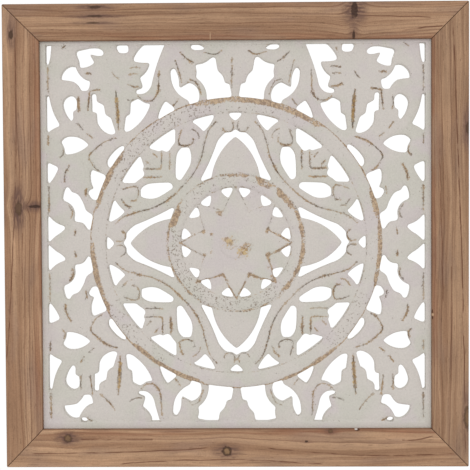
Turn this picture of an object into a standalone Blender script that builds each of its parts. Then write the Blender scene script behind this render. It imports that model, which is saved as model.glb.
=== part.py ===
"""Carved wood decorative panel for a wall: one square board, pierced and carved in low relief with a rosette
in a ring and scrolling leaves around it, painted off-white, behind the lip of a mitred softwood frame.

Metres, +Z up. The front faces -Y and the back of the frame lies on Y = 0. The origin is on the back of the
top rail, half way along it and half way across it, where the frame rests on the wall.
"""

import math

import bmesh
import bpy
from mathutils import Vector

MM = 0.001

# Frame of four rails: plain stock with a rebate behind, mitred from the outer corner to the sight corner
FRAME_SIDE = 0.500
RAIL_WIDTH = 0.040
BOTTOM_RAIL_WIDTH = 0.0415
RAIL_DEPTH = 0.024
LIP_DEPTH = 0.005
REBATE_WIDTH = 0.007
EASED_EDGE = 0.0014
GAP = 0.0003
TOP_Z = RAIL_WIDTH / 2
CENTRE_Z = TOP_Z - FRAME_SIDE / 2

# Board: its face lies behind the lip, and the carved field is let down below the plain border
BOARD_THICKNESS = 0.011
BOARD_FRONT = -(RAIL_DEPTH - LIP_DEPTH) + GAP
BOARD_BACK = BOARD_FRONT + BOARD_THICKNESS
GROUND_DROP = 0.0015
GROUND = BOARD_FRONT + GROUND_DROP
FIELD_HALF_WIDTH = 0.2043
FIELD_TOP = CENTRE_Z + 0.2064
FIELD_BOTTOM = CENTRE_Z - 0.2015
CLEAR = 0.002

# The carving is laid out in units a little over a millimetre, from the middle of the rosette
PATTERN_UNIT = 0.001008
PATTERN_Z = CENTRE_Z - 0.0074

# Relief over the ground: (radius at the foot, radius at the top) on each side of a ring, in pattern units.
# Heights are in millimetres
MAIN_RING = ((140.3, 142.0), (155.2, 153.4))
CENTRE_RING = ((60.0, 61.6), (73.7, 72.2))
RING_HEIGHT = 1.4
RING_SEGMENTS = 60
PETAL_COUNT = 8
PETAL_TIP, PETAL_VALLEY, PETAL_BOW = 59.3, 36.2, 0.8
PETAL_HEIGHT, PETAL_SLOPE = 0.4, (3.2, 0.7)
BOSS_RADII, BOSS_HEIGHTS, BOSS_SEGMENTS = (18.2, 18.2, 16.4, 7.0), (-0.5, 0.96, 1.6, 2.2), 14
LONG_PETAL_TIP, LONG_PETAL_FOOT, LONG_PETAL_BOW = 111.6, (24.4, 71.6), 5.2
LEAF_HEIGHT, LEAF_SLOPE = 0.3, (5.0, 0.9)
BALL_SIDES, BALL_FOOT, BALL_HEIGHT, BALL_TOP = 8, 0.1, 0.9, 0.55
CUTTER_RISE = 0.3
BURIED = 1.0

# How far a chord may stand off the curve that it follows, and how much bow a gouge cut has to each bend of
# its cutter, in pattern units
CHORD_ERROR = 0.55
BOW_PER_STATION = 1.4

PAINT, PAINT_ROUGHNESS = (0.62, 0.59, 0.55), 0.75
SOFTWOOD, SOFTWOOD_ROUGHNESS = (0.36, 0.235, 0.155), 0.65

# Openings of the carving, in pattern units, x to the right and z up. Each corner is (x, z, bow of the edge
# that follows): the bow swells out of the opening, and ON_CIRCLE keeps to a circle about the rosette. Where
# the border leaves less than SMALLEST_OPENING of a copy's height, it isn't sawn.
ON_CIRCLE = None
SMALLEST_OPENING = 6.0

# A small oval hole in each lower corner: x, depth below the middle, half width and half height
CORNER_HOLE, HOLE_SIDES = (164.8, 190.5, 3.6, 2.65), 8

# Half openings that lie on an axis, from one point on it to the other
AXIS_OPENINGS = {
    "petal_gap": [
        (0, 122, 0), (4.5, 118.7, -0.3), (10.5, 118.4, 0.8), (20, 108, -0.9), (37.8, 68.8, 0),
        (37, 66, ON_CIRCLE), (26, 69.6, -5.4), (0, 113.5, 0),
    ],
    "scroll_notch": [(0, 139.5, ON_CIRCLE), (6.4, 139.3, 0), (7, 137.3, 0.6), (0, 130.5, 0)],
}

# Openings inside the main ring, one of eight
RING_OPENINGS = {
    "strand_gap": [
        (22.6, 135.6, 0), (24, 137.4, ON_CIRCLE), (45, 132, 0), (46.8, 129.6, -0.9), (34.2, 119, 1.3),
    ],
    "palmette_gap": [
        (64.6, 120.8, 0), (66.3, 122.6, ON_CIRCLE), (93.2, 103.6, 0), (92.6, 101.3, -0.2), (82, 98, 0),
        (79, 100, 0), (76.5, 98.2, 0.3), (72.8, 97.8, 0.4), (69, 102.5, 0), (64.8, 107.5, 0),
    ],
    "teardrop": [
        (50, 102.4, 0), (58, 102.4, 1.6), (64, 90, 0.2), (64.6, 71, 1.6), (58.6, 67.6, 0.3), (49, 83, 0.3),
        (47.4, 91, 0.7),
    ],
    "petal_side": [(3, 57.8, 0), (4, 59, ON_CIRCLE), (14.5, 57.3, 0), (16.4, 55.2, 0.8), (8.3, 47.9, 0.6)],
    "petal_shoulder": [
        (26.6, 50.3, 0), (27.6, 51.2, ON_CIRCLE), (38.2, 43.8, 0), (37.8, 41, 0.5), (29, 38.9, 0.8),
    ],
}

# Openings outside the main ring, one of four
CORNER_OPENINGS = {
    "stalk_side": [
        (20.7, 197.3, 0), (22.5, 199.2, 0), (25.3, 198.8, -2), (42, 191.2, 0), (42.5, 189.3, -0.5),
        (41.2, 181.5, 0), (42, 178.5, 0), (41, 176, -2.7), (30.6, 157, 0), (30.6, 152.6, ON_CIRCLE),
        (5, 155.4, 0), (3.6, 157.4, 0), (6, 170.2, 0), (11.2, 171.6, 0.6), (14.1, 180.3, 0), (18.6, 184.6, 0),
    ],
    "top_slit": [
        (32.2, 208.2, 0.5), (36, 206, 0), (43, 205.8, 0.3), (47.6, 208.5, 0), (47, 212.4, 0), (40, 213, 0.3),
    ],
    "curl_side": [
        (38, 156, 0), (39.2, 150.8, ON_CIRCLE), (49, 148, 0), (50.4, 152.5, 5.4), (69.2, 181, 1.9),
        (65.2, 187.4, 1.9), (60, 168, 0), (59.4, 166.3, 0), (49.5, 171.8, 2.8), (38.3, 159, 0),
    ],
    "leaf_side": [
        (74.6, 212.8, 0), (97, 213, 1.3), (109.3, 197, 0), (107.5, 194, 0.6), (91.5, 192.7, -2.2),
        (102.3, 177.5, -0.2), (99.2, 168, 0), (99.8, 166, 0), (106.3, 163.8, 0), (106.4, 160.8, 0),
        (104.5, 159.4, 0.3), (97, 160, 1.9), (88.5, 172, -1.1),
    ],
    "leaf_tip": [
        (115, 212.6, 0), (126, 212.6, 0), (127.4, 210.4, 0.4), (124, 203.6, 0.5), (115.2, 203.4, 0.3),
        (113.4, 206, 0.2),
    ],
    "ring_wedge": [
        (64.9, 142, 0), (66, 145.6, 0), (75, 152.6, 1.2), (83.4, 134.2, 0), (82, 132.4, ON_CIRCLE),
    ],
    "vine_inner": [
        (91.2, 149.4, 0), (91.2, 146.8, 2.8), (112.5, 120.4, 0.3), (117.5, 119.4, 0.3), (119.6, 121.8, 0),
        (117.8, 136.2, 0), (113.2, 138.4, 0), (112.5, 151, 0), (104.5, 155, 0), (97.5, 150.3, 0),
    ],
    "vine_outer": [
        (128, 118.3, 0), (130.4, 116.6, 0.3), (135.5, 117, 2.1), (148.4, 129.5, 0), (149, 140.2, 0),
        (153.9, 141, -0.4), (154.4, 159.4, 0), (151.5, 160.8, 0), (148.4, 158.6, 0), (148.2, 151.8, 0),
        (140.6, 147.8, 0), (139, 137.6, 0), (133, 134, 0),
    ],
    "corner_hook": [
        (140, 203.4, 1.2), (147.5, 209.1, 0.2), (156, 209, 0), (168.8, 206.3, 0.5), (170.4, 203.2, 0),
        (167.5, 196, -0.3), (167.2, 190.2, 0), (165.2, 188, 1.6), (150.2, 193.2, 0), (154, 199.8, 0),
        (154.8, 202.2, 0), (147, 200.2, 0), (142, 200.3, 0.4),
    ],
    "corner_wing": [
        (155, 172.6, 0), (156.6, 174.4, 0), (160.5, 175.4, -1.6), (170.4, 189.2, 0), (176, 189.8, 2.6),
        (187, 176.6, 0), (185.8, 174.9, -0.3), (172.5, 173.2, -0.8), (165.5, 164.2, 0), (163.5, 163.3, 0),
        (158, 163.4, 0), (156.3, 166, 0),
    ],
    "corner_slot": [
        (196, 212.6, 0), (203.6, 212.6, 0), (203.6, 193.5, 0.5), (199.6, 190.9, 0), (197.6, 198, 0),
    ],
    "scroll_eye": [
        (169.2, 149.5, 2.4), (176, 158.5, 2.1), (185, 149, 1.4), (178, 132.5, 0.4), (175.3, 131, 0),
        (173.5, 133.5, 0), (173.8, 141.3, 0), (169.8, 143.3, 0),
    ],
    "edge_horn": [
        (199.4, 158.4, 0), (202.7, 158, 0), (203.6, 151, 0), (203.6, 124, 0.5), (200.6, 118.8, -0.8),
        (188.8, 125.6, 0), (188.2, 127.4, -1.2), (197.6, 150, 0),
    ],
    "scroll_lens": [
        (157, 105.4, 3.1), (180, 114.6, 1.2), (188, 108.6, -0.5), (184, 100.5, 0), (183.8, 96.4, 0),
        (181.5, 95.4, 2.7),
    ],
    "ring_pod": [
        (118.6, 101.4, 0), (119.6, 104.8, 0), (123, 104.4, 1.2), (136.8, 90.6, 1.1), (137, 82.2, 0),
        (134.3, 80.6, 0), (132.2, 82.8, ON_CIRCLE),
    ],
    "edge_tooth": [
        (189.9, 80.4, 0), (190.8, 82.4, 0), (200, 86.6, 0.2), (203.6, 85.6, 0), (203.6, 68, 0.5),
        (200, 64.1, 0.8),
    ],
    "side_bud": [
        (138.9, 71, 0), (140.7, 73.7, 0), (154.2, 79, 0), (155.8, 77, 0.8), (155.6, 64, 0), (153.4, 58.6, 0),
        (157.4, 57.6, 0.3), (159.5, 54.2, 0.4), (155, 47.2, 0), (151, 46.1, 0), (148.8, 46.8, ON_CIRCLE),
    ],
    "side_branch": [
        (153.4, 29, 0), (155.2, 31.7, 0), (158.3, 33.2, -0.9), (162.4, 39.8, 0.4), (168, 51, 0.9),
        (176, 55, 0), (179, 60, 0), (181, 60.7, 0.4), (183.8, 59, 0.2), (186.3, 50, 0.3), (185.6, 45.6, -3.2),
        (173.5, 31.5, 0), (174.5, 25, 0), (172.8, 22.8, 0), (168, 22.4, -1), (162, 17.5, 0),
        (160.3, 14.7, 0.4), (157.6, 13.7, 0), (156, 15.6, 0),
    ],
    "side_fan": [
        (183, 16.4, 0), (184.2, 18.7, -1.8), (200.4, 29.6, 0), (203.6, 28.6, 0), (203.6, 4, 0.6),
        (201, 1.3, 0), (193, 8.5, 0.7),
    ],
}

# Gouge cuts, (from, to, bow to the left, width, depth in millimetres): one of eight inside the ring
RING_CUTS = {
    "strand_line_outer": ((21, 128.5), (34.6, 101), -1.6, 1.8, 1.1),
    "strand_line_inner": ((35, 99), (57, 60.4), 1.6, 2.0, 1.2),
    "scroll_ball_edge": ((2.6, 122.6), (11.6, 122.6), 2.2, 1.2, 0.8),
    "eye_crescent": ((45.8, 110), (63, 110), 4.8, 1.4, 1.0),
    "palmette_rib": ((70.6, 95.5), (70.9, 79), 0.4, 1.7, 1.0),
}

# Gouge cuts outside the ring, one of four
CORNER_CUTS = {
    "leaf_midrib": ((127.4, 164), (125.6, 121.5), -0.6, 3.4, 2.2),
    "leaf_vein_up": ((126, 183), (133.2, 174.6), 0, 1.8, 1.1),
    "leaf_vein_left": ((116, 171.2), (102.8, 167.6), 0, 1.6, 1.0),
    "leaf_vein_right": ((153.6, 163), (142.6, 165.4), -0.5, 1.8, 1.1),
    "leaf_vein_top": ((113, 187.6), (101, 188.2), 0.3, 1.8, 1.1),
    "stalk_crescent": ((14.6, 204), (32, 203.4), 2.6, 2.0, 1.3),
    "scroll_line_top": ((45.4, 192.8), (57.8, 204.2), 0.6, 1.8, 1.1),
    "curl_line_top": ((62.4, 193), (57.2, 172.6), 1.2, 1.8, 1.1),
    "curl_line_side": ((81.6, 186), (82.6, 163), 0.4, 1.8, 1.1),
    "curl_end": ((85, 158.4), (103.4, 157), 5.0, 1.6, 1.1),
    "bud_edge_left": ((155.6, 161.6), (157.2, 142), 0.8, 1.7, 1.1),
    "bud_edge_right": ((167.6, 157), (167.2, 142.4), -0.8, 1.7, 1.1),
    "corner_line": ((179.6, 210.8), (187.6, 207.4), 0.3, 1.9, 1.2),
    "scroll_line_side": ((178.4, 83.4), (183.4, 66.6), -0.8, 1.8, 1.1),
    "bud_line": ((161.4, 60.6), (161.8, 51.4), -0.5, 1.6, 1.0),
    "arm_line_low": ((150.4, 104.6), (155.6, 95.4), -0.8, 1.6, 1.0),
    "lobe_crescent": ((184.6, 93.4), (190.8, 90.6), 0.8, 1.3, 0.8),
}

# Rounded scroll ends that stand up as low buttons: (x, z, radius)
RING_BALLS = [(54.4, 114.4, 7.2)]
CORNER_BALLS = [(185, 32.6, 8.2), (193.6, 99.6, 7.0)]


def bowed_edge(start, end, bow, outward):
    """Points from start, up to but without end, on a shallow arc whose middle stands off the chord by bow."""
    if bow is ON_CIRCLE:
        radii = math.hypot(*start), math.hypot(*end)
        angles = math.atan2(start[1], start[0]), math.atan2(end[1], end[0])
        rise = radii[0] * (1 - math.cos((angles[1] - angles[0]) / 2))
        steps = max(1, math.ceil(math.sqrt(rise / CHORD_ERROR)))
        points = []
        for step in range(steps):
            share = step / steps
            radius = radii[0] + (radii[1] - radii[0]) * share
            angle = angles[0] + (angles[1] - angles[0]) * share
            points.append((radius * math.cos(angle), radius * math.sin(angle)))
        return points
    steps = max(1, math.ceil(math.sqrt(abs(bow) / CHORD_ERROR)))
    across, up = end[0] - start[0], end[1] - start[1]
    length = math.hypot(across, up)
    points = []
    for step in range(steps):
        share = step / steps
        stand_off = 4 * bow * share * (1 - share) * outward
        points.append((
            start[0] + across * share + up / length * stand_off,
            start[1] + up * share - across / length * stand_off,
        ))
    return points


def outline(corners):
    """The closed outline of an opening from its corners and bows."""
    ends = corners[1:] + corners[:1]
    area = sum(a[0] * b[1] - b[0] * a[1] for a, b in zip(corners, ends))
    outward = math.copysign(1, area)
    points = []
    for (x, z, bow), (end_x, end_z, _) in zip(corners, ends):
        points += bowed_edge((x, z), (end_x, end_z), bow, outward)
    return points


def whole(half):
    """A half opening and its mirror image across x = 0, as one list of corners."""
    mirrored = [(-end[0], end[1], start[2]) for start, end in zip(half, half[1:])]
    return half[:-1] + mirrored[::-1]


def in_quarters(points):
    """The points in each of the four corners."""
    return [[(side * x, level * z) for x, z in points] for side in (1, -1) for level in (1, -1)]


def in_eighths(points):
    """The points in each corner, and there again with x and z changed over."""
    turned = [(z, x) for x, z in points]
    return in_quarters(points) + in_quarters(turned)


def on_axes(points):
    """The points above the middle, below it and at each side of it."""
    return [
        points,
        [(x, -z) for x, z in points],
        [(z, x) for x, z in points],
        [(-z, x) for x, z in points],
    ]


def place(point, y):
    """A point of the pattern as a place on the board."""
    return Vector((point[0] * PATTERN_UNIT, y, PATTERN_Z + point[1] * PATTERN_UNIT))


def above(height):
    """The y of a surface that stands this many millimetres over the ground."""
    return GROUND - height * MM


def add_prism(mesh, points, back, front):
    """A closed prism on this outline between two depths. It returns the front face."""
    face = mesh.faces.new([mesh.verts.new(place(p, back)) for p in points])
    raised = bmesh.ops.extrude_face_region(mesh, geom=[face])["geom"]
    bmesh.ops.translate(
        mesh, vec=(0, front - back, 0), verts=[v for v in raised if isinstance(v, bmesh.types.BMVert)]
    )
    return next(f for f in raised if isinstance(f, bmesh.types.BMFace))


def add_pillow(mesh, points, height, slope):
    """A raised shape whose top is drawn in and lifted, so that its edges slope."""
    front = add_prism(mesh, points, above(-BURIED), above(height))
    mesh.normal_update()
    width, lift = slope
    bmesh.ops.inset_region(mesh, faces=[front], thickness=width * MM, use_even_offset=True)
    bmesh.ops.translate(mesh, vec=(0, -lift * MM, 0), verts=list(front.verts))


def add_turned(mesh, profile, segments):
    """A solid of revolution about the middle of the rosette, from a closed profile of (radius, height)."""
    verts = [mesh.verts.new(place((radius, 0), above(height))) for radius, height in profile]
    edges = [mesh.edges.new(pair) for pair in zip(verts, verts[1:] + verts[:1])]
    bmesh.ops.spin(
        mesh, geom=verts + edges, cent=place((0, 0), GROUND), axis=(0, 1, 0), angle=math.tau, steps=segments,
        use_merge=True,
    )


def add_cut(mesh, start, end, bow, width, depth, stations):
    """A boat-shaped gouge cutter: a V that is deepest at its middle and runs out at both ends."""
    start, end = Vector(start), Vector(end)
    along = end - start
    left = Vector((-along.y, along.x)).normalized()
    rings = []
    for station in range(1, stations):
        share = station / stations
        swell = math.sin(math.pi * share) ** 0.5
        centre = start + along * share - left * 4 * bow * share * (1 - share)
        half = left * width / 2 * swell
        rings.append([
            mesh.verts.new(place(centre - half, above(CUTTER_RISE))),
            mesh.verts.new(place(centre, above(-depth * swell))),
            mesh.verts.new(place(centre + half, above(CUTTER_RISE))),
        ])
    tips = [mesh.verts.new(place(p, above(CUTTER_RISE))) for p in (start, end)]
    for tip, ring in zip(tips, (rings[0], rings[-1])):
        for a, b in zip(ring, ring[1:] + ring[:1]):
            mesh.faces.new((tip, a, b))
    for ring, following in zip(rings, rings[1:]):
        for i in range(3):
            j = (i + 1) % 3
            mesh.faces.new((ring[i], ring[j], following[j], following[i]))


def new_object(name, mesh):
    """A named object from a finished bmesh, with its faces turned outwards."""
    bmesh.ops.recalc_face_normals(mesh, faces=mesh.faces)
    data = bpy.data.meshes.new(name)
    mesh.to_mesh(data)
    mesh.free()
    obj = bpy.data.objects.new(name, data)
    bpy.context.scene.collection.objects.link(obj)
    return obj


def as_tool(obj):
    """A cutter or an addition that only serves a Boolean."""
    obj.hide_render = True
    obj.display_type = "WIRE"
    return obj


def block(name, low, high):
    mesh = bmesh.new()
    bmesh.ops.create_cube(mesh, size=1)
    low, high = Vector(low), Vector(high)
    bmesh.ops.scale(mesh, vec=high - low, verts=mesh.verts)
    bmesh.ops.translate(mesh, vec=(low + high) / 2, verts=mesh.verts)
    return new_object(name, mesh)


def add_boolean(obj, operation, tool):
    modifier = obj.modifiers.new(tool.name, "BOOLEAN")
    modifier.operation = operation
    modifier.solver = "EXACT"
    modifier.object = tool


def painted(name, colour, roughness):
    material = bpy.data.materials.new(name)
    material.use_nodes = True
    shader = material.node_tree.nodes["Principled BSDF"]
    shader.inputs["Base Color"].default_value = (*colour, 1)
    shader.inputs["Roughness"].default_value = roughness
    shader.inputs["Metallic"].default_value = 0
    return material


def openings():
    """Every opening of the pattern as a prism through the board."""
    outlines = []
    for half in AXIS_OPENINGS.values():
        outlines += on_axes(outline(whole(half)))
    for corners in RING_OPENINGS.values():
        outlines += in_eighths(outline(corners))
    for corners in CORNER_OPENINGS.values():
        outlines += in_quarters(outline(corners))
    lowest_sawn = (FIELD_BOTTOM - PATTERN_Z) / PATTERN_UNIT + SMALLEST_OPENING
    sawn = [points for points in outlines if max(z for _, z in points) > lowest_sawn]
    x, drop, half_width, half_height = CORNER_HOLE
    turns = [math.tau * (side + 0.5) / HOLE_SIDES for side in range(HOLE_SIDES)]
    for side in (1, -1):
        sawn.append([
            (side * (x + half_width * math.cos(turn)), half_height * math.sin(turn) - drop) for turn in turns
        ])
    mesh = bmesh.new()
    for points in sawn:
        add_prism(mesh, points, BOARD_BACK + CLEAR, BOARD_FRONT - CLEAR)
    return as_tool(new_object("openings", mesh))


def star(tip, valley, bow, count):
    """The outline of a star of pointed petals with bowed sides."""
    corners = []
    for petal in range(count):
        for radius, turn in ((tip, petal), (valley, petal + 0.5)):
            angle = math.tau * turn / count
            corners.append((radius * math.cos(angle), radius * math.sin(angle), bow))
    return outline(corners)


def raised_work():
    """Rings, rosette petals, the four long petals and the buttons, which stand over the ground."""
    mesh = bmesh.new()
    for (inner_foot, inner_top), (outer_foot, outer_top) in (MAIN_RING, CENTRE_RING):
        profile = [
            (inner_foot, -BURIED), (inner_foot, 0), (inner_top, RING_HEIGHT), (outer_top, RING_HEIGHT),
            (outer_foot, 0), (outer_foot, -BURIED),
        ]
        add_turned(mesh, profile, RING_SEGMENTS)
    add_pillow(mesh, star(PETAL_TIP, PETAL_VALLEY, PETAL_BOW, PETAL_COUNT), PETAL_HEIGHT, PETAL_SLOPE)
    foot_x, foot_z = LONG_PETAL_FOOT
    long_petal = outline([
        (0, LONG_PETAL_TIP, LONG_PETAL_BOW), (foot_x, foot_z, ON_CIRCLE), (-foot_x, foot_z, LONG_PETAL_BOW),
    ])
    for points in on_axes(long_petal):
        add_pillow(mesh, points, LEAF_HEIGHT, LEAF_SLOPE)
    balls = [(in_eighths, ball) for ball in RING_BALLS] + [(in_quarters, ball) for ball in CORNER_BALLS]
    for copies, (x, z, radius) in balls:
        turns = [math.tau * (side + 0.5) / BALL_SIDES for side in range(BALL_SIDES)]
        points = [(x + radius * math.cos(turn), z + radius * math.sin(turn)) for turn in turns]
        for copy in copies(points):
            add_pillow(mesh, copy, BALL_FOOT, (radius * (1 - BALL_TOP), BALL_HEIGHT))
    return as_tool(new_object("raised_work", mesh))


def boss():
    """The round middle of the rosette."""
    mesh = bmesh.new()
    profile = zip(BOSS_RADII, BOSS_HEIGHTS)
    verts = [mesh.verts.new(place((radius, 0), above(height))) for radius, height in profile]
    edges = [mesh.edges.new(pair) for pair in zip(verts, verts[1:])]
    bmesh.ops.spin(
        mesh, geom=verts + edges, cent=place((0, 0), GROUND), axis=(0, 1, 0), angle=math.tau,
        steps=BOSS_SEGMENTS, use_merge=True,
    )
    bmesh.ops.holes_fill(mesh, edges=[e for e in mesh.edges if e.is_boundary], sides=0)
    return as_tool(new_object("boss", mesh))


def gouge_cuts():
    """The V cuts that draw the veins, strands and crescents."""
    mesh = bmesh.new()
    for start, end, bow, width, depth in RING_CUTS.values():
        stations = 2 + int(abs(bow) / BOW_PER_STATION)
        for line in in_eighths([start, end]):
            turned = cross(line) * cross([start, end]) > 0
            add_cut(mesh, *line, bow if turned else -bow, width, depth, stations)
    for start, end, bow, width, depth in CORNER_CUTS.values():
        stations = 2 + int(abs(bow) / BOW_PER_STATION)
        for line in in_quarters([start, end]):
            if min(place(p, 0).z for p in line) < FIELD_BOTTOM:
                continue
            turned = cross(line) * cross([start, end]) > 0
            add_cut(mesh, *line, bow if turned else -bow, width, depth, stations)
    return as_tool(new_object("gouge_cuts", mesh))


def cross(line):
    """Twice the signed area between a line and the middle of the rosette: a mirror image changes its sign."""
    (ax, az), (bx, bz) = line
    return ax * bz - bx * az


def carved_panel():
    """The board: border left standing, field let down, rings and petals standing in it, openings sawn out."""
    edge = FRAME_SIDE / 2 - RAIL_WIDTH + REBATE_WIDTH - GAP
    bottom = CENTRE_Z - FRAME_SIDE / 2 + BOTTOM_RAIL_WIDTH - REBATE_WIDTH + GAP
    board = block(
        "carved_panel", (-edge, BOARD_FRONT, bottom), (edge, BOARD_BACK, CENTRE_Z + edge)
    )
    field_low, field_high = (-FIELD_HALF_WIDTH, FIELD_BOTTOM), (FIELD_HALF_WIDTH, FIELD_TOP)
    ground = block(
        "let_down_field",
        (field_low[0], BOARD_FRONT - CLEAR, field_low[1]),
        (field_high[0], GROUND, field_high[1]),
    )
    through = block(
        "pierced_field",
        (field_low[0], BOARD_FRONT - 2 * CLEAR, field_low[1]),
        (field_high[0], BOARD_BACK + 2 * CLEAR, field_high[1]),
    )
    saw_cuts = openings()
    add_boolean(saw_cuts, "INTERSECT", as_tool(through))
    add_boolean(board, "DIFFERENCE", as_tool(ground))
    add_boolean(board, "UNION", raised_work())
    add_boolean(board, "UNION", boss())
    add_boolean(board, "DIFFERENCE", saw_cuts)
    add_boolean(board, "DIFFERENCE", gouge_cuts())
    board.data.materials.append(painted("white_paint_over_wood", PAINT, PAINT_ROUGHNESS))
    return board


def rail(name, start, end, width, start_inset, end_inset):
    """One rail. It runs from start to end, two outer corners of the frame on the wall's plane, with the sight
    opening on its right as seen from the front. Each inset is the width of the rail that it meets."""
    start, end = Vector(start), Vector(end)
    along = (end - start).normalized()
    inward = Vector((0, 1, 0)).cross(along)
    front, lip, back = -RAIL_DEPTH, -RAIL_DEPTH + LIP_DEPTH, 0
    rebate = width - REBATE_WIDTH
    section = [(0, back), (0, front), (width, front), (width, lip), (rebate, lip), (rebate, back)]
    mesh = bmesh.new()
    corners = [start + inward * across + Vector((0, y, 0)) for across, y in section]
    face = mesh.faces.new([mesh.verts.new(corner) for corner in corners])
    run = bmesh.ops.extrude_face_region(mesh, geom=[face])["geom"]
    bmesh.ops.translate(mesh, vec=end - start, verts=[v for v in run if isinstance(v, bmesh.types.BMVert)])
    eased = [
        e for e in mesh.edges
        if all(abs(v.co.y - front) < MM / 10 for v in e.verts)
        and abs((e.verts[1].co - e.verts[0].co).normalized().dot(along)) > 0.9
    ]
    bmesh.ops.bevel(
        mesh, geom=eased, offset=EASED_EDGE, segments=2, profile=0.5, affect="EDGES", material=-1
    )
    for corner, way, inset in ((start, along, start_inset), (end, -along, end_inset)):
        mitre = (way * inset + inward * width).normalized()
        normal = mitre.cross(Vector((0, 1, 0)))
        if normal.dot(way) > 0:
            normal = -normal
        cut = bmesh.ops.bisect_plane(
            mesh, geom=mesh.verts[:] + mesh.edges[:] + mesh.faces[:], plane_co=corner - normal * GAP / 2,
            plane_no=normal, clear_outer=True,
        )["geom_cut"]
        bmesh.ops.contextual_create(mesh, geom=[e for e in cut if isinstance(e, bmesh.types.BMEdge)])
    obj = new_object(name, mesh)
    obj.data.materials.append(painted(name + "_wood", SOFTWOOD, SOFTWOOD_ROUGHNESS))
    return obj


def frame():
    half = FRAME_SIDE / 2
    left, right = -half, half
    top, bottom = CENTRE_Z + half, CENTRE_Z - half
    side, foot = RAIL_WIDTH, BOTTOM_RAIL_WIDTH
    rail("frame_rail_top", (left, 0, top), (right, 0, top), side, side, side)
    rail("frame_rail_right", (right, 0, top), (right, 0, bottom), side, side, foot)
    rail("frame_rail_bottom", (right, 0, bottom), (left, 0, bottom), foot, side, side)
    rail("frame_rail_left", (left, 0, bottom), (left, 0, top), side, foot, side)


for old in list(bpy.data.objects):
    bpy.data.objects.remove(old, do_unlink=True)
carved_panel()
frame()
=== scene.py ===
import math

import bmesh
import bpy
import numpy as np
from mathutils import Matrix, Vector, noise
from mathutils.geometry import delaunay_2d_cdt
from mathutils.kdtree import KDTree


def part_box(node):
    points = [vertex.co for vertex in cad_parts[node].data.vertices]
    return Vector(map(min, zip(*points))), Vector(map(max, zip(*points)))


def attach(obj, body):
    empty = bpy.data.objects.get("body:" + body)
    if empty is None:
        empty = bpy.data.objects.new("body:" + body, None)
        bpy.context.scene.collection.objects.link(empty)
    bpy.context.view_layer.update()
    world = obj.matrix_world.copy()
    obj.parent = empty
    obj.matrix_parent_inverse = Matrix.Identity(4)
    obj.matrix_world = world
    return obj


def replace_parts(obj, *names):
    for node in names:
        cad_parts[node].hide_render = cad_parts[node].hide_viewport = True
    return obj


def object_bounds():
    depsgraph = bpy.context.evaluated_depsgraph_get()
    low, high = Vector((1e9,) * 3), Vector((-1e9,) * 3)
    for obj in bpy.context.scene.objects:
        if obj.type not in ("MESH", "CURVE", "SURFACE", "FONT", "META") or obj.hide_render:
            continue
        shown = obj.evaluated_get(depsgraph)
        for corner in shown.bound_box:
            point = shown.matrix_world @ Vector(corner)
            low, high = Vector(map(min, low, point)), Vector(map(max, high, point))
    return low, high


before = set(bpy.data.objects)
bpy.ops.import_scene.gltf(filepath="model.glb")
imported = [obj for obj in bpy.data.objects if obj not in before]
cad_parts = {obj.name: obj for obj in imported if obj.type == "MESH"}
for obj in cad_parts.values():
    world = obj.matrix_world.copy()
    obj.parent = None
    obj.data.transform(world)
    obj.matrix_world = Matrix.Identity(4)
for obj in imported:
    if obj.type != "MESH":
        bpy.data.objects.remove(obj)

cad_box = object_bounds()
MM = 0.001


# Openings of the carved board. The board is one piece of softwood, and a thin cutter sawed its openings
# through, so every inner corner is a little round. Each corner below is (x, z, bow of the edge that follows) in
# pattern units from the middle of the rosette; a bow swells out of the opening, ON_CIRCLE keeps to a circle.

PATTERN_UNIT = 1.008 * MM
ON_CIRCLE = None
AXIS_OPENINGS = {
    "petal_gap": [
        (0, 122, 0), (4.5, 118.7, -0.3), (10.5, 118.4, 0.8), (20, 108, -0.9), (37.8, 68.8, 0),
        (37, 66, ON_CIRCLE), (26, 69.6, -5.4), (0, 113.5, 0),
    ],
    "scroll_notch": [(0, 139.5, ON_CIRCLE), (6.4, 139.3, 0), (7, 137.3, 0.6), (0, 130.5, 0)],
}
RING_OPENINGS = {
    "strand_gap": [
        (22.6, 135.6, 0), (24, 137.4, ON_CIRCLE), (45, 132, 0), (46.8, 129.6, -0.9), (34.2, 119, 1.3),
    ],
    "palmette_gap": [
        (64.6, 120.8, 0), (66.3, 122.6, ON_CIRCLE), (93.2, 103.6, 0), (92.6, 101.3, -0.2), (82, 98, 0),
        (79, 100, 0), (76.5, 98.2, 0.3), (72.8, 97.8, 0.4), (69, 102.5, 0), (64.8, 107.5, 0),
    ],
    "teardrop": [
        (50, 102.4, 0), (58, 102.4, 1.6), (64, 90, 0.2), (64.6, 71, 1.6), (58.6, 67.6, 0.3), (49, 83, 0.3),
        (47.4, 91, 0.7),
    ],
    "petal_side": [(3, 57.8, 0), (4, 59, ON_CIRCLE), (14.5, 57.3, 0), (16.4, 55.2, 0.8), (8.3, 47.9, 0.6)],
    "petal_shoulder": [
        (26.6, 50.3, 0), (27.6, 51.2, ON_CIRCLE), (38.2, 43.8, 0), (37.8, 41, 0.5), (29, 38.9, 0.8),
    ],
}
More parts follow.
